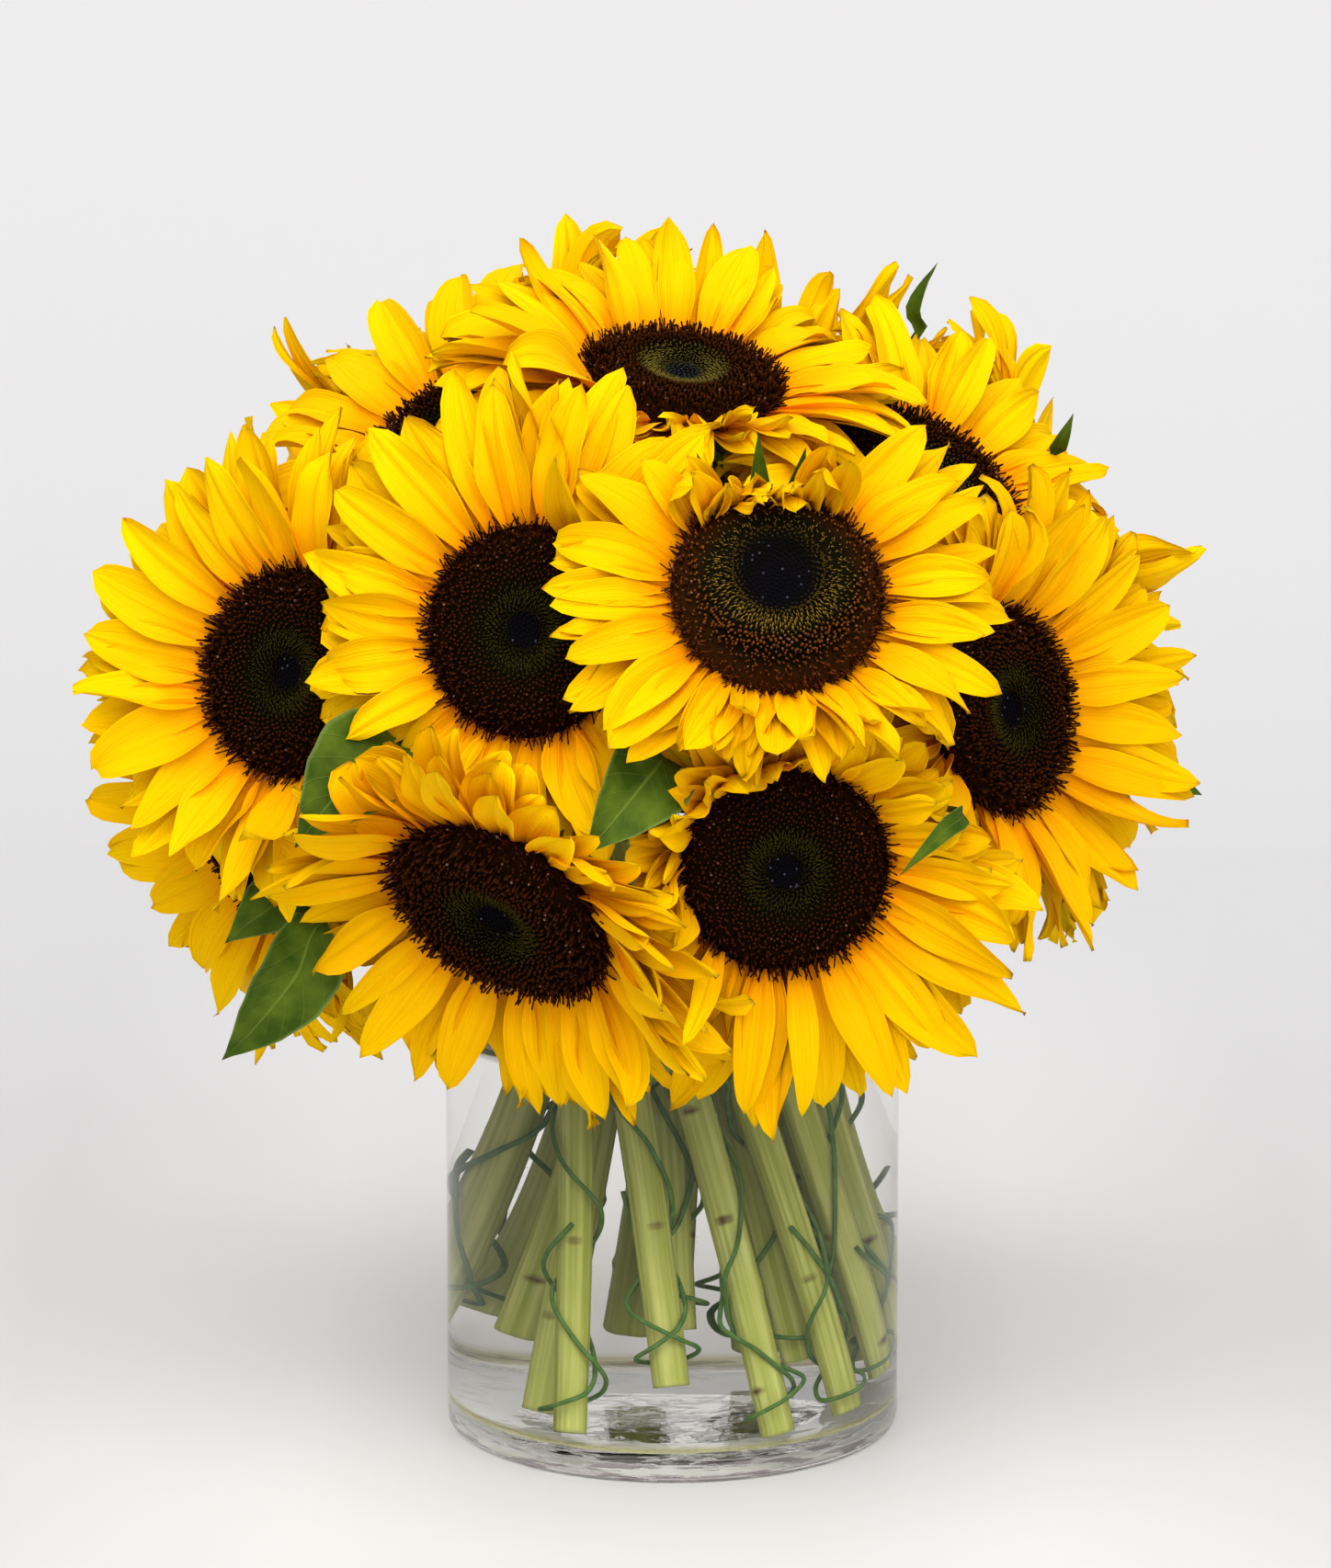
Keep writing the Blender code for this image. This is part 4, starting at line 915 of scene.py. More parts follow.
def stem_below(head):
    """From the cut end up to the tie: the stem leans sideways, and outwards towards its end."""
    ring = RINGS[head.place[0]]
    turn = math.radians(head.place[1])
    outward = np.array([math.sin(turn), -math.cos(turn), 0.0])
    sideways = np.array([math.cos(turn), math.sin(turn), 0.0])
    deepest = TIE_HEIGHT - VASE_FLOOR
    uneven = ring["uneven"] * math.cos(turn - STEEPEST)
    lean = ring["lean"] + 10 * uneven
    line = []
    for step in range(STEM_STEPS_BELOW + 1):
        depth = (TIE_HEIGHT - head.cut) * (1 - step / STEM_STEPS_BELOW)
        reach = ring["radius"] + (ring["spread"] - uneven) * (depth / deepest) ** 1.3
        line.append(outward * reach + sideways * (lean * depth) + np.array([0, 0, TIE_HEIGHT - depth]))
    return np.array(line), unit(np.array([0, 0, 1.0]) - sideways * lean)


def stem_above(head, start, heading):
    """From the tie to the neck behind the head, as a Bezier curve that arrives square to the disc."""
    end = head.middle - head.out * head.size * NECK_DEPTH
    pull = CURVE_PULL * np.linalg.norm(end - start)
    handles = [start, start + heading * pull, end - head.out * min(pull, NECK_PULL), end]
    t = np.linspace(0, 1, STEM_STEPS_ABOVE + 1)[:, None]
    weights = [(1 - t) ** 3, 3 * t * (1 - t) ** 2, 3 * t * t * (1 - t), t ** 3]
    return sum(w * h for w, h in zip(weights, handles))


def pushed_off(points, others, foreign, clearance):
    """How far each point moves away from those of the others that are foreign and too close."""
    delta = points[:, None] - others[None, :]
    far = np.linalg.norm(delta, axis=2) + 1e-9
    close = np.where(foreign, np.clip(clearance - far, 0, None), 0)
    return (delta / far[..., None] * close[..., None]).sum(axis=1)


def part_stems(lines, heads):
    """Push the upper stems off each other and off the heads, with both ends of each held still."""
    lines = np.array(lines)
    count, steps, _ = lines.shape
    owner = np.repeat(np.arange(count), steps)[:, None]
    balls = np.array([h.middle - h.out * HEAD_BALL_DEPTH for h in heads])
    for _ in range(RELAX_STEPS):
        flat = lines.reshape(-1, 3)
        push = pushed_off(flat, flat, owner != owner.T, STEM_CLEARANCE) * STEM_PUSH
        push += pushed_off(flat, balls, owner != np.arange(count), HEAD_CLEARANCE) * HEAD_PUSH
        bend = np.zeros_like(lines)
        bend[:, 1:-1] = (lines[:, 2:] + lines[:, :-2]) / 2 - lines[:, 1:-1]
        move = push.reshape(lines.shape) + STEM_SMOOTHING * bend
        move[:, :1] = 0
        move[:, -2:] = 0
        lines = lines + move
    return lines


def hairs(line, radii, frames, name):
    """Short hairs on a stem: slim three-sided spikes at random places, square to its surface."""
    dice = np.random.default_rng(sum(map(ord, name)))
    row = dice.integers(2, len(line) - 2, HAIRS)
    turn = dice.uniform(0, 2 * math.pi, HAIRS)[:, None]
    out = np.cos(turn) * frames[0][row] + np.sin(turn) * frames[1][row]
    along = unit(np.gradient(line, axis=0))[row]
    side = np.cross(along, out)
    shift = along * dice.uniform(0, 0.0015, HAIRS)[:, None]
    foot = line[row] + shift + out * (radii[row] * 0.97)[:, None]
    way = out + along * dice.uniform(-0.5, 0.3, HAIRS)[:, None]
    tip = foot + way * dice.uniform(*HAIR_LENGTH, HAIRS)[:, None]
    corners = [foot + HAIR_RADIUS * (math.cos(a) * side + math.sin(a) * along) for a in (0.0, 2.09, 4.19)]
    points = np.stack([*corners, tip], axis=1).reshape(-1, 3)
    one = np.array([[0, 3, 1], [1, 3, 2], [2, 3, 0], [0, 1, 2]])
    return points, (one[None] + 4 * np.arange(HAIRS)[:, None, None]).reshape(-1, 3)


def leaf_scars(gone, turns, dice):
    """How much of a leaf scar there is at each point of a stem, from 0 to 1."""
    scar = np.zeros((len(gone), len(turns)))
    place = dice.uniform(*SCAR_FIRST)
    while place < gone[STEM_ROWS - 1] * 0.8:
        side = dice.uniform(0, 2 * math.pi)
        around = np.abs((turns - side + math.pi) % (2 * math.pi) - math.pi) * STEM_RADIUS
        near = np.exp(-((gone[:, None] - place) / SCAR_LENGTH) ** 2 - (around[None, :] / SCAR_WIDTH) ** 2)
        scar = np.maximum(scar, near * dice.uniform(0.5, 1.0))
        place += dice.uniform(*SCAR_APART)
    return scar


def make_stem(head, path, material):
    """Ribbed stem with leaf scars, its neck and the smooth cup of the head, as one closed tube.

    The spots attribute holds where its scars are, and where it is pale: at the cut end and its hairs.
    """
    dice = random.Random("stem " + head.name)
    depths, widths = np.array(CUP).T
    line = smooth_line(path, STEM_ROWS)
    gone = distances(line)
    radii = STEM_RADIUS + (NECK_RADIUS * head.size - STEM_RADIUS) * gone / gone[-1]
    line = np.vstack([line, head.middle + head.out * head.size * depths[:, None]])
    radii = np.concatenate([radii, head.size * widths])
    gone = np.concatenate([gone, gone[-1] + head.size * (depths + NECK_DEPTH)])
    frames = carried_frames(line, head.out, head.axes[:, 0])
    turns = 2 * math.pi * np.arange(STEM_SIDES) / STEM_SIDES
    rib = 1 + RIB_DEPTH * np.cos(RIBS * turns + dice.uniform(0, 6))
    rib = rib + OVAL_DEPTH * np.cos(2 * turns + dice.uniform(0, 6))
    scar = leaf_scars(gone, turns, dice)
    shape = tube(line, radii[:, None] * rib[None, :] + scar * SCAR_RISE, frames, STEM_SIDES)
    grain = np.stack(np.broadcast_arrays(np.cos(turns), np.sin(turns), gone[:, None]), axis=-1)
    grain = np.vstack([grain.reshape(-1, 3), [0, 0, 0], [0, 0, 1]]) + dice.uniform(0, 50)
    spikes, triangles = hairs(line[:STEM_ROWS], radii, frames, head.name)
    heap = Heap()
    heap.add(*shape, grain)
    heap.add(spikes, [], triangles, grain[0])
    spots = np.zeros((heap.count, 3))
    spots[:scar.size, 0] = scar.ravel()
    spots[:STEM_SIDES, 1] = 0.5
    spots[scar.size, 1] = 1
    spots[len(grain):, 1] = 0.7
    obj = heap.piece("stem_with_cup_" + head.name, material, "stems", ["stem_" + head.name])
    layer = obj.data.attributes.new("spots", "FLOAT_VECTOR", "POINT")
    layer.data.foreach_set("vector", spots.astype(np.float32).ravel())


# Blades

PETAL_ALONG = np.linspace(0, 1, 13)
PETAL_ACROSS = np.linspace(-1, 1, 13)
PETAL_QUADS = blade_quads(len(PETAL_ALONG), len(PETAL_ACROSS))
BRACT_ALONG = np.linspace(0, 1, 8)
BRACT_ACROSS = np.linspace(-1, 1, 5)
LEAF_ALONG = np.linspace(0, 1, 34)
LEAF_ACROSS = np.linspace(-1, 1, 11)


def petal_spine(turn, form):
    """Centre line and its frame: the slope runs from root to end, with a curl at the tip.

    slope(t) = root + (end - root) t + curl t^3, summed along t; the blade twists by twist t^1.5.
    """
    t = PETAL_ALONG
    slope = np.radians(form["root"] + (form["end"] - form["root"]) * t + form["curl"] * t ** 3)
    step = form["length"] / (len(t) - 1)
    ahead = summed((np.cos(slope[1:]) + np.cos(slope[:-1])) / 2 * step)
    high = summed((np.sin(slope[1:]) + np.sin(slope[:-1])) / 2 * step)
    out, side, up = ring_axes(turn)
    shift = form["lean"] * form["length"] * t ** 2
    centre = out * (PETAL_ROOT + ahead)[:, None] + up * (PETAL_LEVEL + form["level"] + high)[:, None]
    centre = centre + side * shift[:, None]
    normal = up * np.cos(slope)[:, None] - out * np.sin(slope)[:, None]
    twist = (np.radians(form["twist"]) * t ** 1.5)[:, None]
    turned_side = side * np.cos(twist) + normal * np.sin(twist)
    return centre, turned_side, normal * np.cos(twist) - side * np.sin(twist)


def petal_points(turn, form):
    """A petal in the head's frame.

    Half width: a claw up to the widest place, then (1 - t^point)^0.66 to the tip.
    Section: v^2 raises the edges and |v| folds the middle, cos(8 v) makes two grooves, and the
    edges wave.
    """
    t = PETAL_ALONG[:, None]
    v = PETAL_ACROSS[None, :]
    centre, side, normal = petal_spine(turn, form)
    claw = 0.38 + 0.62 * np.sin(np.pi / 2 * np.clip(PETAL_ALONG / form["widest"], 0, 1)) ** 1.5
    tip = np.clip(1 - PETAL_ALONG ** form["point"], 0, 1) ** 0.66
    half = form["half"] * claw * tip * 1.1 + 0.00012
    cup = form["cup"] + 0.5 * (1 - t) ** 3
    swell = np.sin(np.pi * np.clip(t, 0.02, 1)) ** 0.6
    beat = form["beat"] * t + form["phase"] + form["swap"] * np.sign(v)
    wave = form["wave"] * t * np.sin(beat) * v ** 2
    rise = half[:, None] * (cup * v ** 2 + form["keel"] * t * (np.abs(v) - 0.3)) + wave
    rise = rise + form["groove"] * swell * np.cos(8 * v + form["phase"] * 0.2) * (1 - 0.5 * v ** 2)
    return blade(centre, side, normal, half, rise, PETAL_THICK, PETAL_ACROSS)


def petal_form(head, turn, rank, dice):
    """Length, width, slopes and curvature of one petal before it is bent."""
    level = head.out[2]
    lift = RANK_LIFTS[rank] + head.rise
    odd = dice.random() < ODD_SHARE
    form = dict(
        length=PETAL_LENGTH * dice.uniform(0.84, 1.08) * (1 + 0.02 * rank),
        half=PETAL_WIDTH / 2 * head.wide * dice.uniform(0.72, 1.26),
        root=PETAL_RISE[0] - PETAL_SAG[0] * level + lift + dice.uniform(-5, 5),
        end=PETAL_RISE[1] - PETAL_SAG[1] * level + lift + dice.uniform(-16, 14),
        level=RANK_GAP * (1.5 - rank),
        lean=dice.uniform(-0.11, 0.11),
        twist=dice.uniform(*TWIST[odd]),
        curl=dice.uniform(*CURL[odd]),
    )
    for key, span in VARIETY.items():
        form[key] = dice.uniform(*span)
    for towards, reach, more_root, more_end, longer, wider, wild in head.pressed:
        share = within(turn, towards, reach)
        form["root"] += more_root * share
        form["end"] += more_end * share
        form["length"] *= 1 + (longer - 1) * share
        form["half"] *= 1 + (wider - 1) * share
        form["curl"] += dice.uniform(-wild, wild) * share
        form["twist"] += dice.uniform(-wild, wild) * share
    form["curl"] = min(form["curl"], CURL_LIMIT - form["end"])
    return form


def bend_cost(bend):
    """How much a bend changes a petal."""
    (_, end), lean, scale = bend
    return abs(end) / 24 + abs(lean) * 3 + (1 - scale) * 4.5


BENDS = sorted(itertools.product(MORE_RISE, MORE_LEAN, SHORTER), key=bend_cost)


def plain_faces(faces):
    """Faces as the search tree takes them."""
    return [tuple(int(k) for k in face) for face in faces]


def dome_tree(head):
    """Search tree of a disc with room for its florets and over its middle, closed below by the cup."""
    points, quads, triangles = turned(DISC_ROOM, 20)
    return BVHTree.FromPolygons([tuple(p) for p in head.world(points)], plain_faces([*quads, *triangles]))


class Crowd:
    """Everything already placed, as one search tree of triangles, and the discs as one tree each."""

    def __init__(self, heads):
        self.domes = {head.name: dome_tree(head) for head in heads}
        self.points = []
        self.faces = []
        self.tree = None

    def add(self, points, faces):
        self.faces += plain_faces(np.asarray(faces) + len(self.points))
        self.points += [tuple(p) for p in points]

    def settle(self):
        self.tree = BVHTree.FromPolygons(self.points, self.faces)

    def hit(self, points, faces, own=None):
        """Whether a surface crosses anything placed, or any disc but its own."""
        tree = BVHTree.FromPolygons([tuple(p) for p in points], faces)
        if tree.overlap(self.tree):
            return True
        return any(tree.overlap(dome) for name, dome in self.domes.items() if name != own)


# Points of a petal that stand in for it in the search
PROXY_ROWS = np.array([1, 3, 5, 7, 9, 11, 12])
PROXY_COLUMNS = np.array([0, 6, 12])
PROXY_INDEX = (PROXY_ROWS[:, None] * len(PETAL_ACROSS) + PROXY_COLUMNS).ravel()
PROXY_FACES = plain_faces(grid_quads(len(PROXY_ROWS), len(PROXY_COLUMNS)))


def make_petals(head, crowd, material):
    """The ring of petals in four ranks, each petal bent clear of what is there already."""
    dice = random.Random(head.name)
    heap = Heap()
    placed = []
    for rank in range(len(RANK_LIFTS))[::-1]:
        for i in range(rank, head.petals, len(RANK_LIFTS)):
            turn = 2 * math.pi * (i + dice.uniform(-0.9, 0.9)) / head.petals
            form = petal_form(head, turn, rank, dice)
            # The tint holds the petal's random tone and its bloom's painted shade
            marks = blade_marks(PETAL_ALONG, PETAL_ACROSS, TINT_RANGE * dice.random() + head.orange_and_shade)
            for (more_root, more_end), more_lean, scale in BENDS:
                bent = dict(form, root=form["root"] + more_root, end=form["end"] + more_end,
                            lean=form["lean"] + more_lean, length=form["length"] * scale,
                            half=form["half"] * (0.5 + 0.5 * scale))
                points = petal_points(turn, bent)
                if np.hypot(points[:, 0], points[:, 1]).min() < head.clear:
                    continue
                points = head.world(points)
                points[:, 2] -= head.droop * marks[:, 1] ** 2
                proxy = points[PROXY_INDEX]
                if not crowd.hit(proxy, PROXY_FACES, head.name):
                    heap.add(points, PETAL_QUADS, [], marks)
                    placed.append(proxy)
                    break
    for proxy in placed:
        crowd.add(proxy, PROXY_FACES)
    crowd.settle()
    heap.piece("ray_petals_" + head.name, material, "petals", ["petals_" + head.name], sharp=BLADE_EDGE)


def make_bracts(head, material):
    """Two rows of pointed green bracts round the cup, their tips standing away."""
    dice = random.Random("bracts " + head.name)
    heap = Heap()
    quads = blade_quads(len(BRACT_ALONG), len(BRACT_ACROSS))
    t = BRACT_ALONG
    half = BRACT_HALF * (1 - t ** 1.4) ** 1.1 + 0.0001
    bowl = half[:, None] * 0.35 * BRACT_ACROSS[None, :] ** 2
    for row, (count, start, level, rise, steeper) in enumerate(BRACT_ROWS):
        for i in range(count):
            turn = 2 * math.pi * (i + 0.5 * row + dice.uniform(-0.2, 0.2)) / count
            length = dice.uniform(*BRACT_LENGTH)
            more = 0
            if head.sepals:
                *sector, most, longer = head.sepals
                share = within(turn, *sector)
                more = most * share
                length *= 1 + (longer - 1) * share
            slope = steeper * (1 - t) + rise + more + dice.uniform(-8, 8) * t + 10 * t ** 2
            slope = np.radians(slope)
            step = length / (len(t) - 1)
            ahead = summed(np.cos(slope[:-1]) * step)
            high = summed(np.sin(slope[:-1]) * step)
            out, side, up = ring_axes(turn)
            centre = out * (start + ahead)[:, None] + up * (level + high)[:, None]
            normal = up * np.cos(slope)[:, None] - out * np.sin(slope)[:, None]
            side = np.broadcast_to(side, centre.shape)
            points = blade(centre, side, normal, half, bowl, BRACT_THICK, BRACT_ACROSS)
            heap.add(head.world(points), quads, [], blade_marks(t, BRACT_ACROSS, dice.random()))
    heap.piece("bracts_" + head.name, material, "stems", sharp=BLADE_EDGE)


def leaf_line(start, foot, tip, half_width, facing, lift):
    """Centre line, frame and half width of a leaf: a stalk from the stem to the foot of the blade.

    From the foot to the tip x runs from 0 to 1, and the half width is x^0.5 (1 - x)^1.25, toothed.
    """
    span = tip - foot
    across = unit(np.cross(span, facing))
    arch = unit(np.cross(across, span)) * lift * np.linalg.norm(span)
    near = foot + span * 0.33 + arch
    far = foot + span * 0.70 + arch * 0.8
    centre = smooth_line([start, (start + foot) / 2, foot, near, far, tip], len(LEAF_ALONG))
    ahead = unit(np.gradient(centre, axis=0))
    side = unit(across - ahead * (ahead @ across)[:, None])
    gone = distances(centre)
    at = gone[np.argmin(np.linalg.norm(centre - foot, axis=1))]
    x = np.clip((gone - at) / (gone[-1] - at), 0, 1)
    half = half_width * 2.70 * x ** 0.5 * (1 - x) ** 1.25
    half = half * (1 + LEAF_TOOTH * ((x * LEAF_TEETH) % 1)) + 0.0010 * (1 - x)
    return centre, side, np.cross(side, ahead), half, x


def make_leaf(name, line, half_width, material, dice):
    """One leaf: raised edges, a slow wave, and its side veins drawn by the material."""
    centre, side, normal, half, x = line
    v = LEAF_ACROSS[None, :]
    t = LEAF_ALONG[:, None]
    wave = LEAF_WAVE * np.sin(dice.uniform(7, 11) * t + dice.uniform(0, 6) + 1.5 * np.sign(v)) * v ** 2
    rise = half[:, None] * 0.28 * np.abs(v) ** 1.4 + wave * np.clip(half[:, None] / half_width, 0, 1)
    heap = Heap()
    heap.add(blade(centre, side, normal, half, rise, LEAF_THICK, LEAF_ACROSS),
             blade_quads(len(LEAF_ALONG), len(LEAF_ACROSS)), [], blade_marks(x, LEAF_ACROSS, dice.random()))
    heap.piece(name, material, "stems", sharp=BLADE_EDGE)


def make_leaves(paths, crowd, material):
    """Each leaf on its stem; the petals are laid clear of the leaves afterwards."""
    dice = random.Random("leaves")
    v = LEAF_ACROSS[::5]
    for number, (name, share, foot, tip, half_width, facing) in enumerate(LEAVES):
        line = paths[name]
        at = STEM_STEPS_BELOW + share * STEM_STEPS_ABOVE / 2
        low = int(at)
        start = line[low] + (line[low + 1] - line[low]) * (at - low)
        for narrow, lift in LEAF_TRIES:
            leaf = leaf_line(start, np.array(foot), np.array(tip), half_width * narrow, facing, lift)
            centre, side, _, half, x = leaf
            first = int(np.argmax(x > 0.02))
            proxy = centre[first:, None] + side[first:, None] * (half[first:, None] * v[None, :])[..., None]
            faces = plain_faces(grid_quads(len(proxy), len(v)))
            proxy = proxy.reshape(-1, 3)
            if not crowd.hit(proxy, faces):
                break
        make_leaf(f"leaf_{name}_{number}", leaf, half_width * narrow, material, dice)
        crowd.add(proxy, faces)


# Disc

def make_dome(head, heap):
    """The solid dome under the florets."""
    shares = np.linspace(0, 1, DISC_ROWS)
    heights = np.interp(shares, *zip(*DOME))
    profile = [(0, DISC_UNDER), (DISC_RADIUS - DISC_BEVEL, DISC_UNDER)]
    profile += [(DISC_RADIUS * s, h) for s, h in zip(shares[::-1], heights[::-1])]
    points, quads, triangles = turned(profile, DISC_SIDES)
    reach = np.linalg.norm(points[:, :2], axis=1) / DISC_RADIUS
    heap.add(head.world(points), quads, triangles, np.stack([reach, 0 * reach, 0 * reach], axis=-1))


def make_disc(head, material):
    """Dome with florets set by the golden angle, each a four-sided spindle.

    Floret k of n lies at radius R sqrt(k / n) and turn k times 137.5 degrees, with more of them in the
    ring round the eye, where they lie inwards as strands, and along the rim, where they lengthen into
    pins that lean out. The look's shift moves the eye and its ring upwards, the rim stays.
    """
    dice = np.random.default_rng(sum(map(ord, head.name)))
    heap = Heap()
    make_dome(head, heap)

    near, far = DISC_LOOKS[head.look]["ring"]
    shift = DISC_LOOKS[head.look]["shift"]
    crowded = [(near - 0.1, far + 0.05, RING_MORE), (RIM_START, 1, RIM_MORE)] * (head.name in FRONT)
    share = np.concatenate([
        np.sqrt(low ** 2 + (high ** 2 - low ** 2) * (np.arange(count) + 0.5) / count)
        for low, high, count in [(0, 1, FLORETS), *crowded]])
    florets = len(share)
    wild = np.interp(share, *zip(*WILDNESS))
    share = np.minimum(1, share + wild * dice.uniform(-0.012, 0.012, florets))
    turn = np.arange(florets) * GOLDEN_ANGLE + wild * dice.uniform(-0.020, 0.020, florets)
    radius = DISC_RADIUS * share * 0.985
    level = np.interp(share, *zip(*DOME)) - 0.0004
    share = share * (1 - shift * np.sin(turn) * (1 - share))
    zones = [0, near - 0.04, near, far, far + 0.06, 0.80, 0.90, 1]
    length, wide, tilt = (np.interp(share, zones, sizes)
                          for sizes in (FLORET_LENGTHS, FLORET_WIDTHS, FLORET_TILTS))
    length = length * (1 + wild * dice.uniform(-0.5, 0.5, florets))
    tilt = np.radians(tilt) + np.radians(wild * dice.uniform(-34, 30, florets))
    swing = turn + np.radians(wild * dice.uniform(-42, 42, florets))
    tint = dice.random(florets)

    up = np.array([0, 0, 1.0])
    out = np.stack([np.cos(swing), np.sin(swing), 0 * turn], axis=-1)
    side = np.stack([-np.sin(turn), np.cos(turn), 0 * turn], axis=-1)
    axis = out * np.sin(tilt)[:, None] + up * np.cos(tilt)[:, None]
    other = unit(np.cross(axis, side))
    root = np.stack([radius * np.cos(turn), radius * np.sin(turn), level], axis=-1)
    corners = [math.cos(a) * side + math.sin(a) * other for a in (math.pi / 2 * k for k in range(4))]
    points = [root + axis * (length * station)[:, None] + corner * (wide * girth)[:, None]
              for station, girth in FLORET_RINGS for corner in corners]
    points = np.stack([*points, root, root + axis * length[:, None]], axis=1)
    stations = np.array([*np.repeat([station for station, _ in FLORET_RINGS], 4), 0, 1])
    marks = np.stack(np.broadcast_arrays(share[:, None], stations, tint[:, None]), axis=-1)
    quads, triangles = body_faces(len(FLORET_RINGS), 4)
    first = (len(stations) * np.arange(florets))[:, None, None]
    heap.add(head.world(points.reshape(-1, 3)), (quads[None] + first).reshape(-1, 4),
             (triangles[None] + first).reshape(-1, 3), marks.reshape(-1, 3))
    heap.piece("florets_" + head.name, material, "discs", ["disc_" + head.name])


# Glass, water and wire

def crown(floor):
    """The profile of a floor that rises a little in the middle."""
    return [(radius, floor + rise) for radius, rise in FLOOR_CROWN]


def make_vase(material):
    """Straight wall, thick floor that rises a little in the middle, round foot and round rim."""
    inner = VASE_RADIUS - VASE_WALL
    lip = VASE_WALL / 2
    straight = np.linspace(STRAIGHT_FROM, VASE_HEIGHT - lip - INNER_ROUND, 5)
    profile = FOOT_HOLLOW + arc((VASE_RADIUS - FOOT_ROUND, FOOT_ROUND), FOOT_ROUND, -90, 0, 9)
    profile += [(VASE_RADIUS, z) for z in straight]
    profile += arc((VASE_RADIUS - lip, VASE_HEIGHT - lip), lip, 0, 180, 9)
    profile += [(inner, z) for z in straight[::-1]]
    profile += arc((inner - INNER_ROUND, VASE_FLOOR + INNER_ROUND), INNER_ROUND, 0, -90, 7)
    profile += crown(VASE_FLOOR)[::-1]
    single_piece("glass_cylinder", turned(profile, GLASS_SIDES), material, "glass", ["vase"])


def make_water(material):
    """The water, sunk a hair into the glass so that light passes from one straight into the other."""
    inner = VASE_RADIUS - VASE_WALL + WATER_SINK
    floor = VASE_FLOOR - WATER_SINK
    profile = crown(floor) + arc((inner - INNER_ROUND, floor + INNER_ROUND), INNER_ROUND, -90, 0, 7)
    profile += [(inner, z) for z in np.linspace(STRAIGHT_FROM, WATER_LEVEL - INNER_ROUND, 4)]
    profile += [(inner - gone, WATER_LEVEL + rise) for gone, rise in MENISCUS] + [(0, WATER_LEVEL)]
    single_piece("water_fill", turned(profile, GLASS_SIDES), material, "water", ["water"])


def make_wire(head, path, material):
    """Wire wound loosely down a stem, past its end in a hairpin, and part of the way up again.

    The wire is a helix on the stem's line: its turns stand off here and there, most at the hairpin.
    """
    dice = random.Random("wire " + head.name)
    line = smooth_line(path, WIRE_ROWS)
    gone = distances(line)
    frames = carried_frames(line, head.out, head.axes[:, 0])
    low = dice.uniform(*WIRE_START)
    down = np.interp(WIRE_TOP, line[:, 2], gone) - low
    u = np.arange(0, down + dice.uniform(*WIRE_BACK), WIRE_STEP)
    past = u - down
    s = low + np.sqrt(past ** 2 + HAIRPIN_ROUND ** 2) - HAIRPIN_ROUND
    centre = sample(s, gone, line)
    sides = [sample(s, gone, f) for f in frames]
    way = dice.choice((-1, 1))
    pitch = WIRE_PITCH * dice.uniform(0.8, 1.3)
    turn = way * 2 * math.pi * u / pitch + dice.uniform(0, 6.28) + 0.6 * np.sin(u * 48 + dice.uniform(0, 6))
    turn = turn + way * 2.0 * np.tanh(past / 0.009)
    loose = np.clip(np.sin(u * dice.uniform(95, 150) + dice.uniform(0, 6)), 0, 1) ** 2
    loose = loose * dice.uniform(*TURNS_LOOSE) * np.interp(centre[:, 2], [0.02, 0.13], [1.0, 0.4])
    hairpin = HAIRPIN_LOOSE * np.exp(-(past / HAIRPIN_REACH) ** 2)
    radius = STEM_RADIUS * 1.08 + WIRE_RADIUS + np.maximum(loose, hairpin)
    wire = centre + radius[:, None] * (np.cos(turn)[:, None] * sides[0] + np.sin(turn)[:, None] * sides[1])
    most = VASE_RADIUS - VASE_WALL - 0.0015
    wire[:, :2] *= np.minimum(1, most / np.linalg.norm(wire[:, :2], axis=1))[:, None]
    wire[:, 2] = np.maximum(wire[:, 2], VASE_FLOOR + 0.0016)
    wire = smooth_line(wire[::3], len(wire))
    ahead = unit(wire[-1] - wire[-2])
    frames = carried_frames(wire, ahead, unit(np.cross(ahead, [0.3, 0.5, 0.8])))
    shape = tube(wire, np.full(len(wire), WIRE_RADIUS), frames, WIRE_SIDES)
    nodes = ["wire_" + head.name] if head.name in WIRED else []
    single_piece("binding_wire_" + head.name, shape, material, "wire", nodes)


# Stage

def make_sheet(name, profile, material):
    """A wide sheet along X, from the (y, height) points of its profile."""
    points = np.array([(x, y, z + FLOOR_LEVEL) for y, z in profile for x in (-FLOOR_REACH, FLOOR_REACH)])
    rows = np.arange(len(profile) - 1)[:, None] * 2
    single_piece(name, (points, rows + np.array([[0, 1, 3, 2]]), []), material, None)


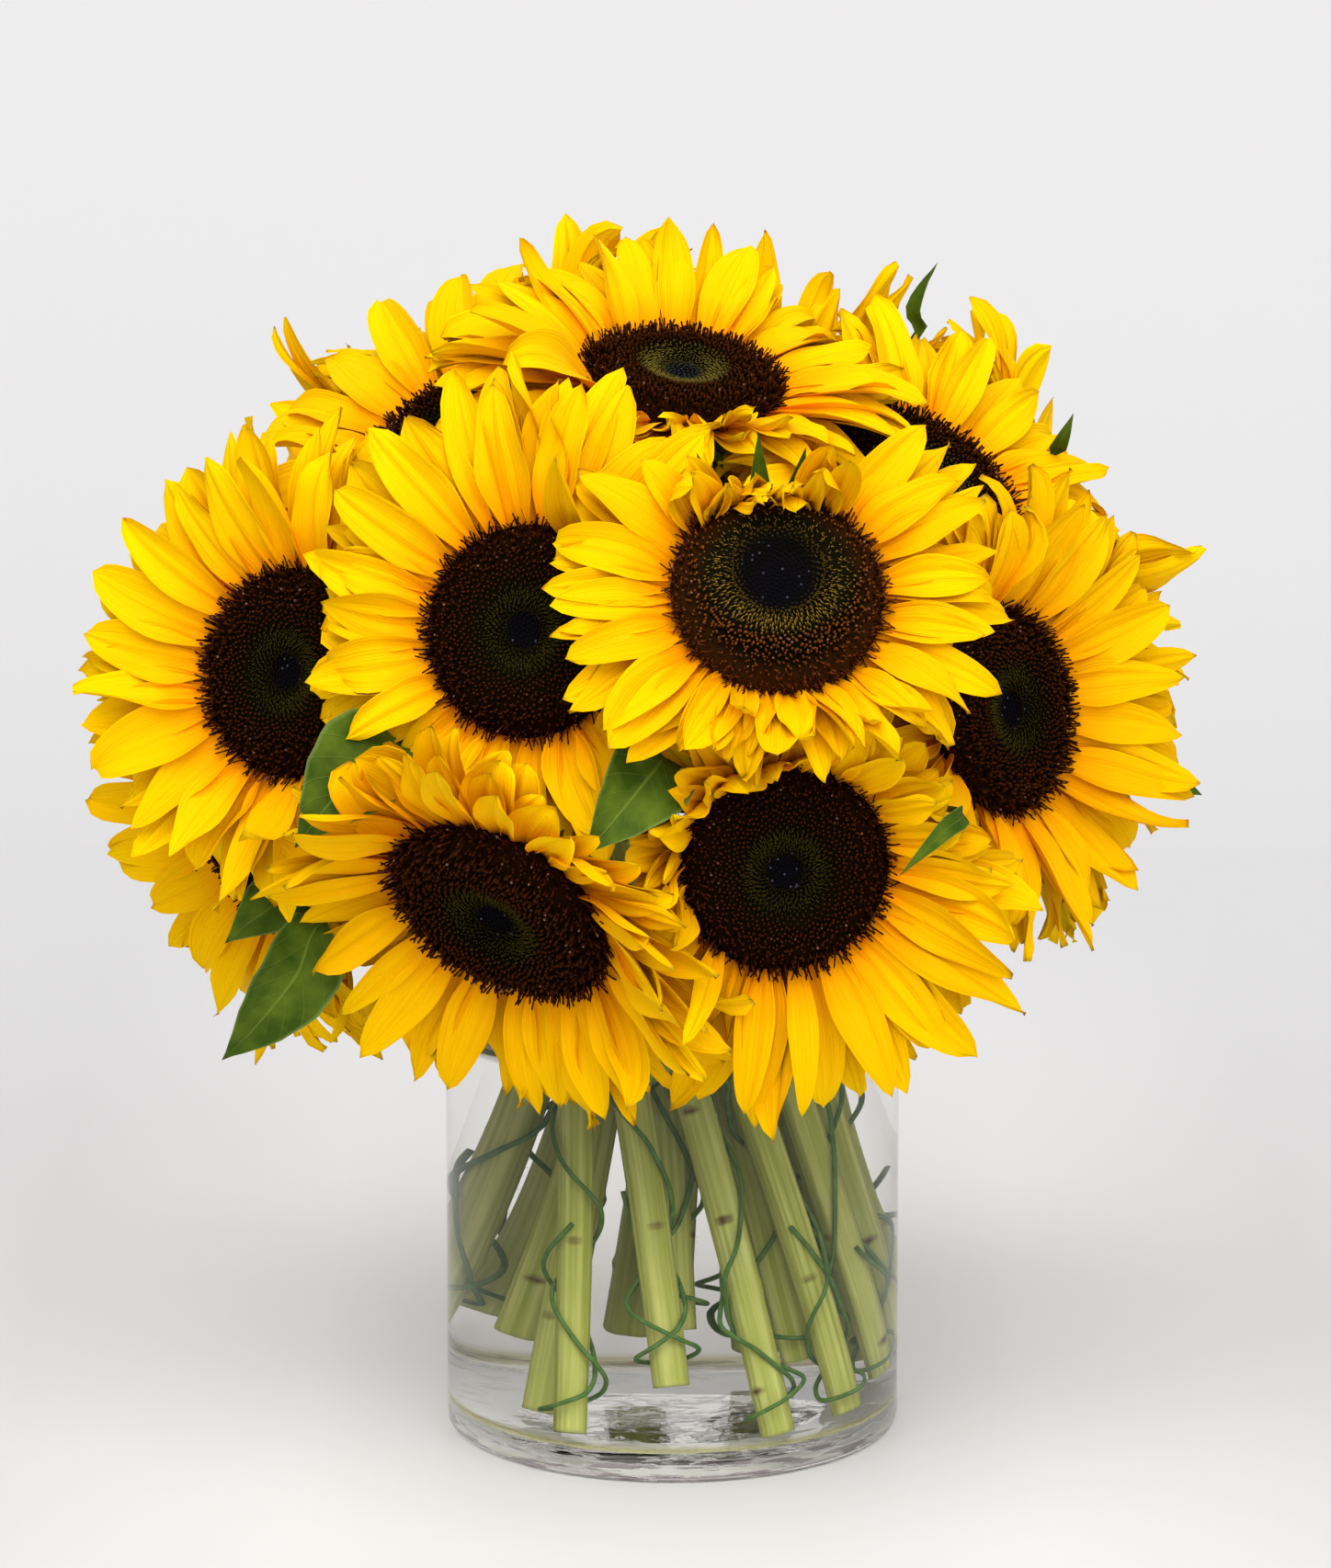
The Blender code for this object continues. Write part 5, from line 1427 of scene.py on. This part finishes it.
def make_stage():
    """Pale floor that touches the foot, a backdrop curving up from it, soft lights and the camera."""
    curve = arc((SWEEP_BACK - SWEEP_ROUND, SWEEP_ROUND), SWEEP_ROUND, -90, 0, 25)
    make_sheet("pale_floor", [(-FLOOR_REACH, 0.0), (FLOOR_REACH, 0.0)], floor_material("pale_floor"))
    make_sheet("pale_backdrop", curve + [(SWEEP_BACK, SWEEP_TOP)], backdrop_material())

    scene = bpy.context.scene
    world = bpy.data.worlds.new("studio")
    world.use_nodes = True
    sky = world.node_tree.nodes["Background"].inputs
    sky["Color"].default_value = SKY
    sky["Strength"].default_value = SKY_STRENGTH
    scene.world = world
    for name, place, turn, size, power in LAMPS:
        light = bpy.data.lights.new(name, "AREA")
        light.size = size
        light.energy = power
        lamp = bpy.data.objects.new(name, light)
        lamp.location = place
        lamp.rotation_euler = Euler([math.radians(a) for a in turn])
        scene.collection.objects.link(lamp)
    camera = bpy.data.cameras.new("camera")
    camera.lens = CAMERA_LENS
    camera.sensor_width = CAMERA_SENSOR
    camera.sensor_fit = "HORIZONTAL"
    view = bpy.data.objects.new("camera", camera)
    view.location = CAMERA_PLACE
    view.rotation_euler = Euler((math.radians(90 - CAMERA_DOWN), 0, 0))
    scene.collection.objects.link(view)
    scene.camera = view
    scene.view_settings.view_transform = "Standard"


def build():
    make_stage()
    heads = [Head(**bloom) for bloom in BLOOMS]
    lower = [stem_below(head) for head in heads]
    upper = part_stems([stem_above(h, low[-1], way) for h, (low, way) in zip(heads, lower)], heads)
    paths = {h.name: np.vstack([low, up[2::2]]) for h, (low, _), up in zip(heads, lower, upper)}

    crowd = Crowd(heads)
    for head in heads:
        path = paths[head.name]
        frames = carried_frames(path, head.out, head.axes[:, 0])
        points, quads, _ = tube(path, np.full(len(path), STEM_RADIUS), frames, 6)
        crowd.add(points, quads)
    points, quads, _ = turned([(0, 0), (VASE_RADIUS, 0), (VASE_RADIUS, VASE_HEIGHT), (0, VASE_HEIGHT)], 24)
    crowd.add(points, quads)
    crowd.settle()

    petal, stem = petal_material(), stem_material()
    florets = {name: disc_material(name, look) for name, look in DISC_LOOKS.items()}
    leaf, wire = leaf_material(), wire_material()
    make_vase(glass_material())
    make_water(water_material())
    for head in heads:
        make_stem(head, paths[head.name], stem)
        make_bracts(head, leaf)
        make_disc(head, florets[head.look])
        if head.name in WIRED + ALSO_WIRED:
            make_wire(head, paths[head.name], wire)
    make_leaves(paths, crowd, leaf)
    crowd.settle()
    for head in heads:
        make_petals(head, crowd, petal)


build()
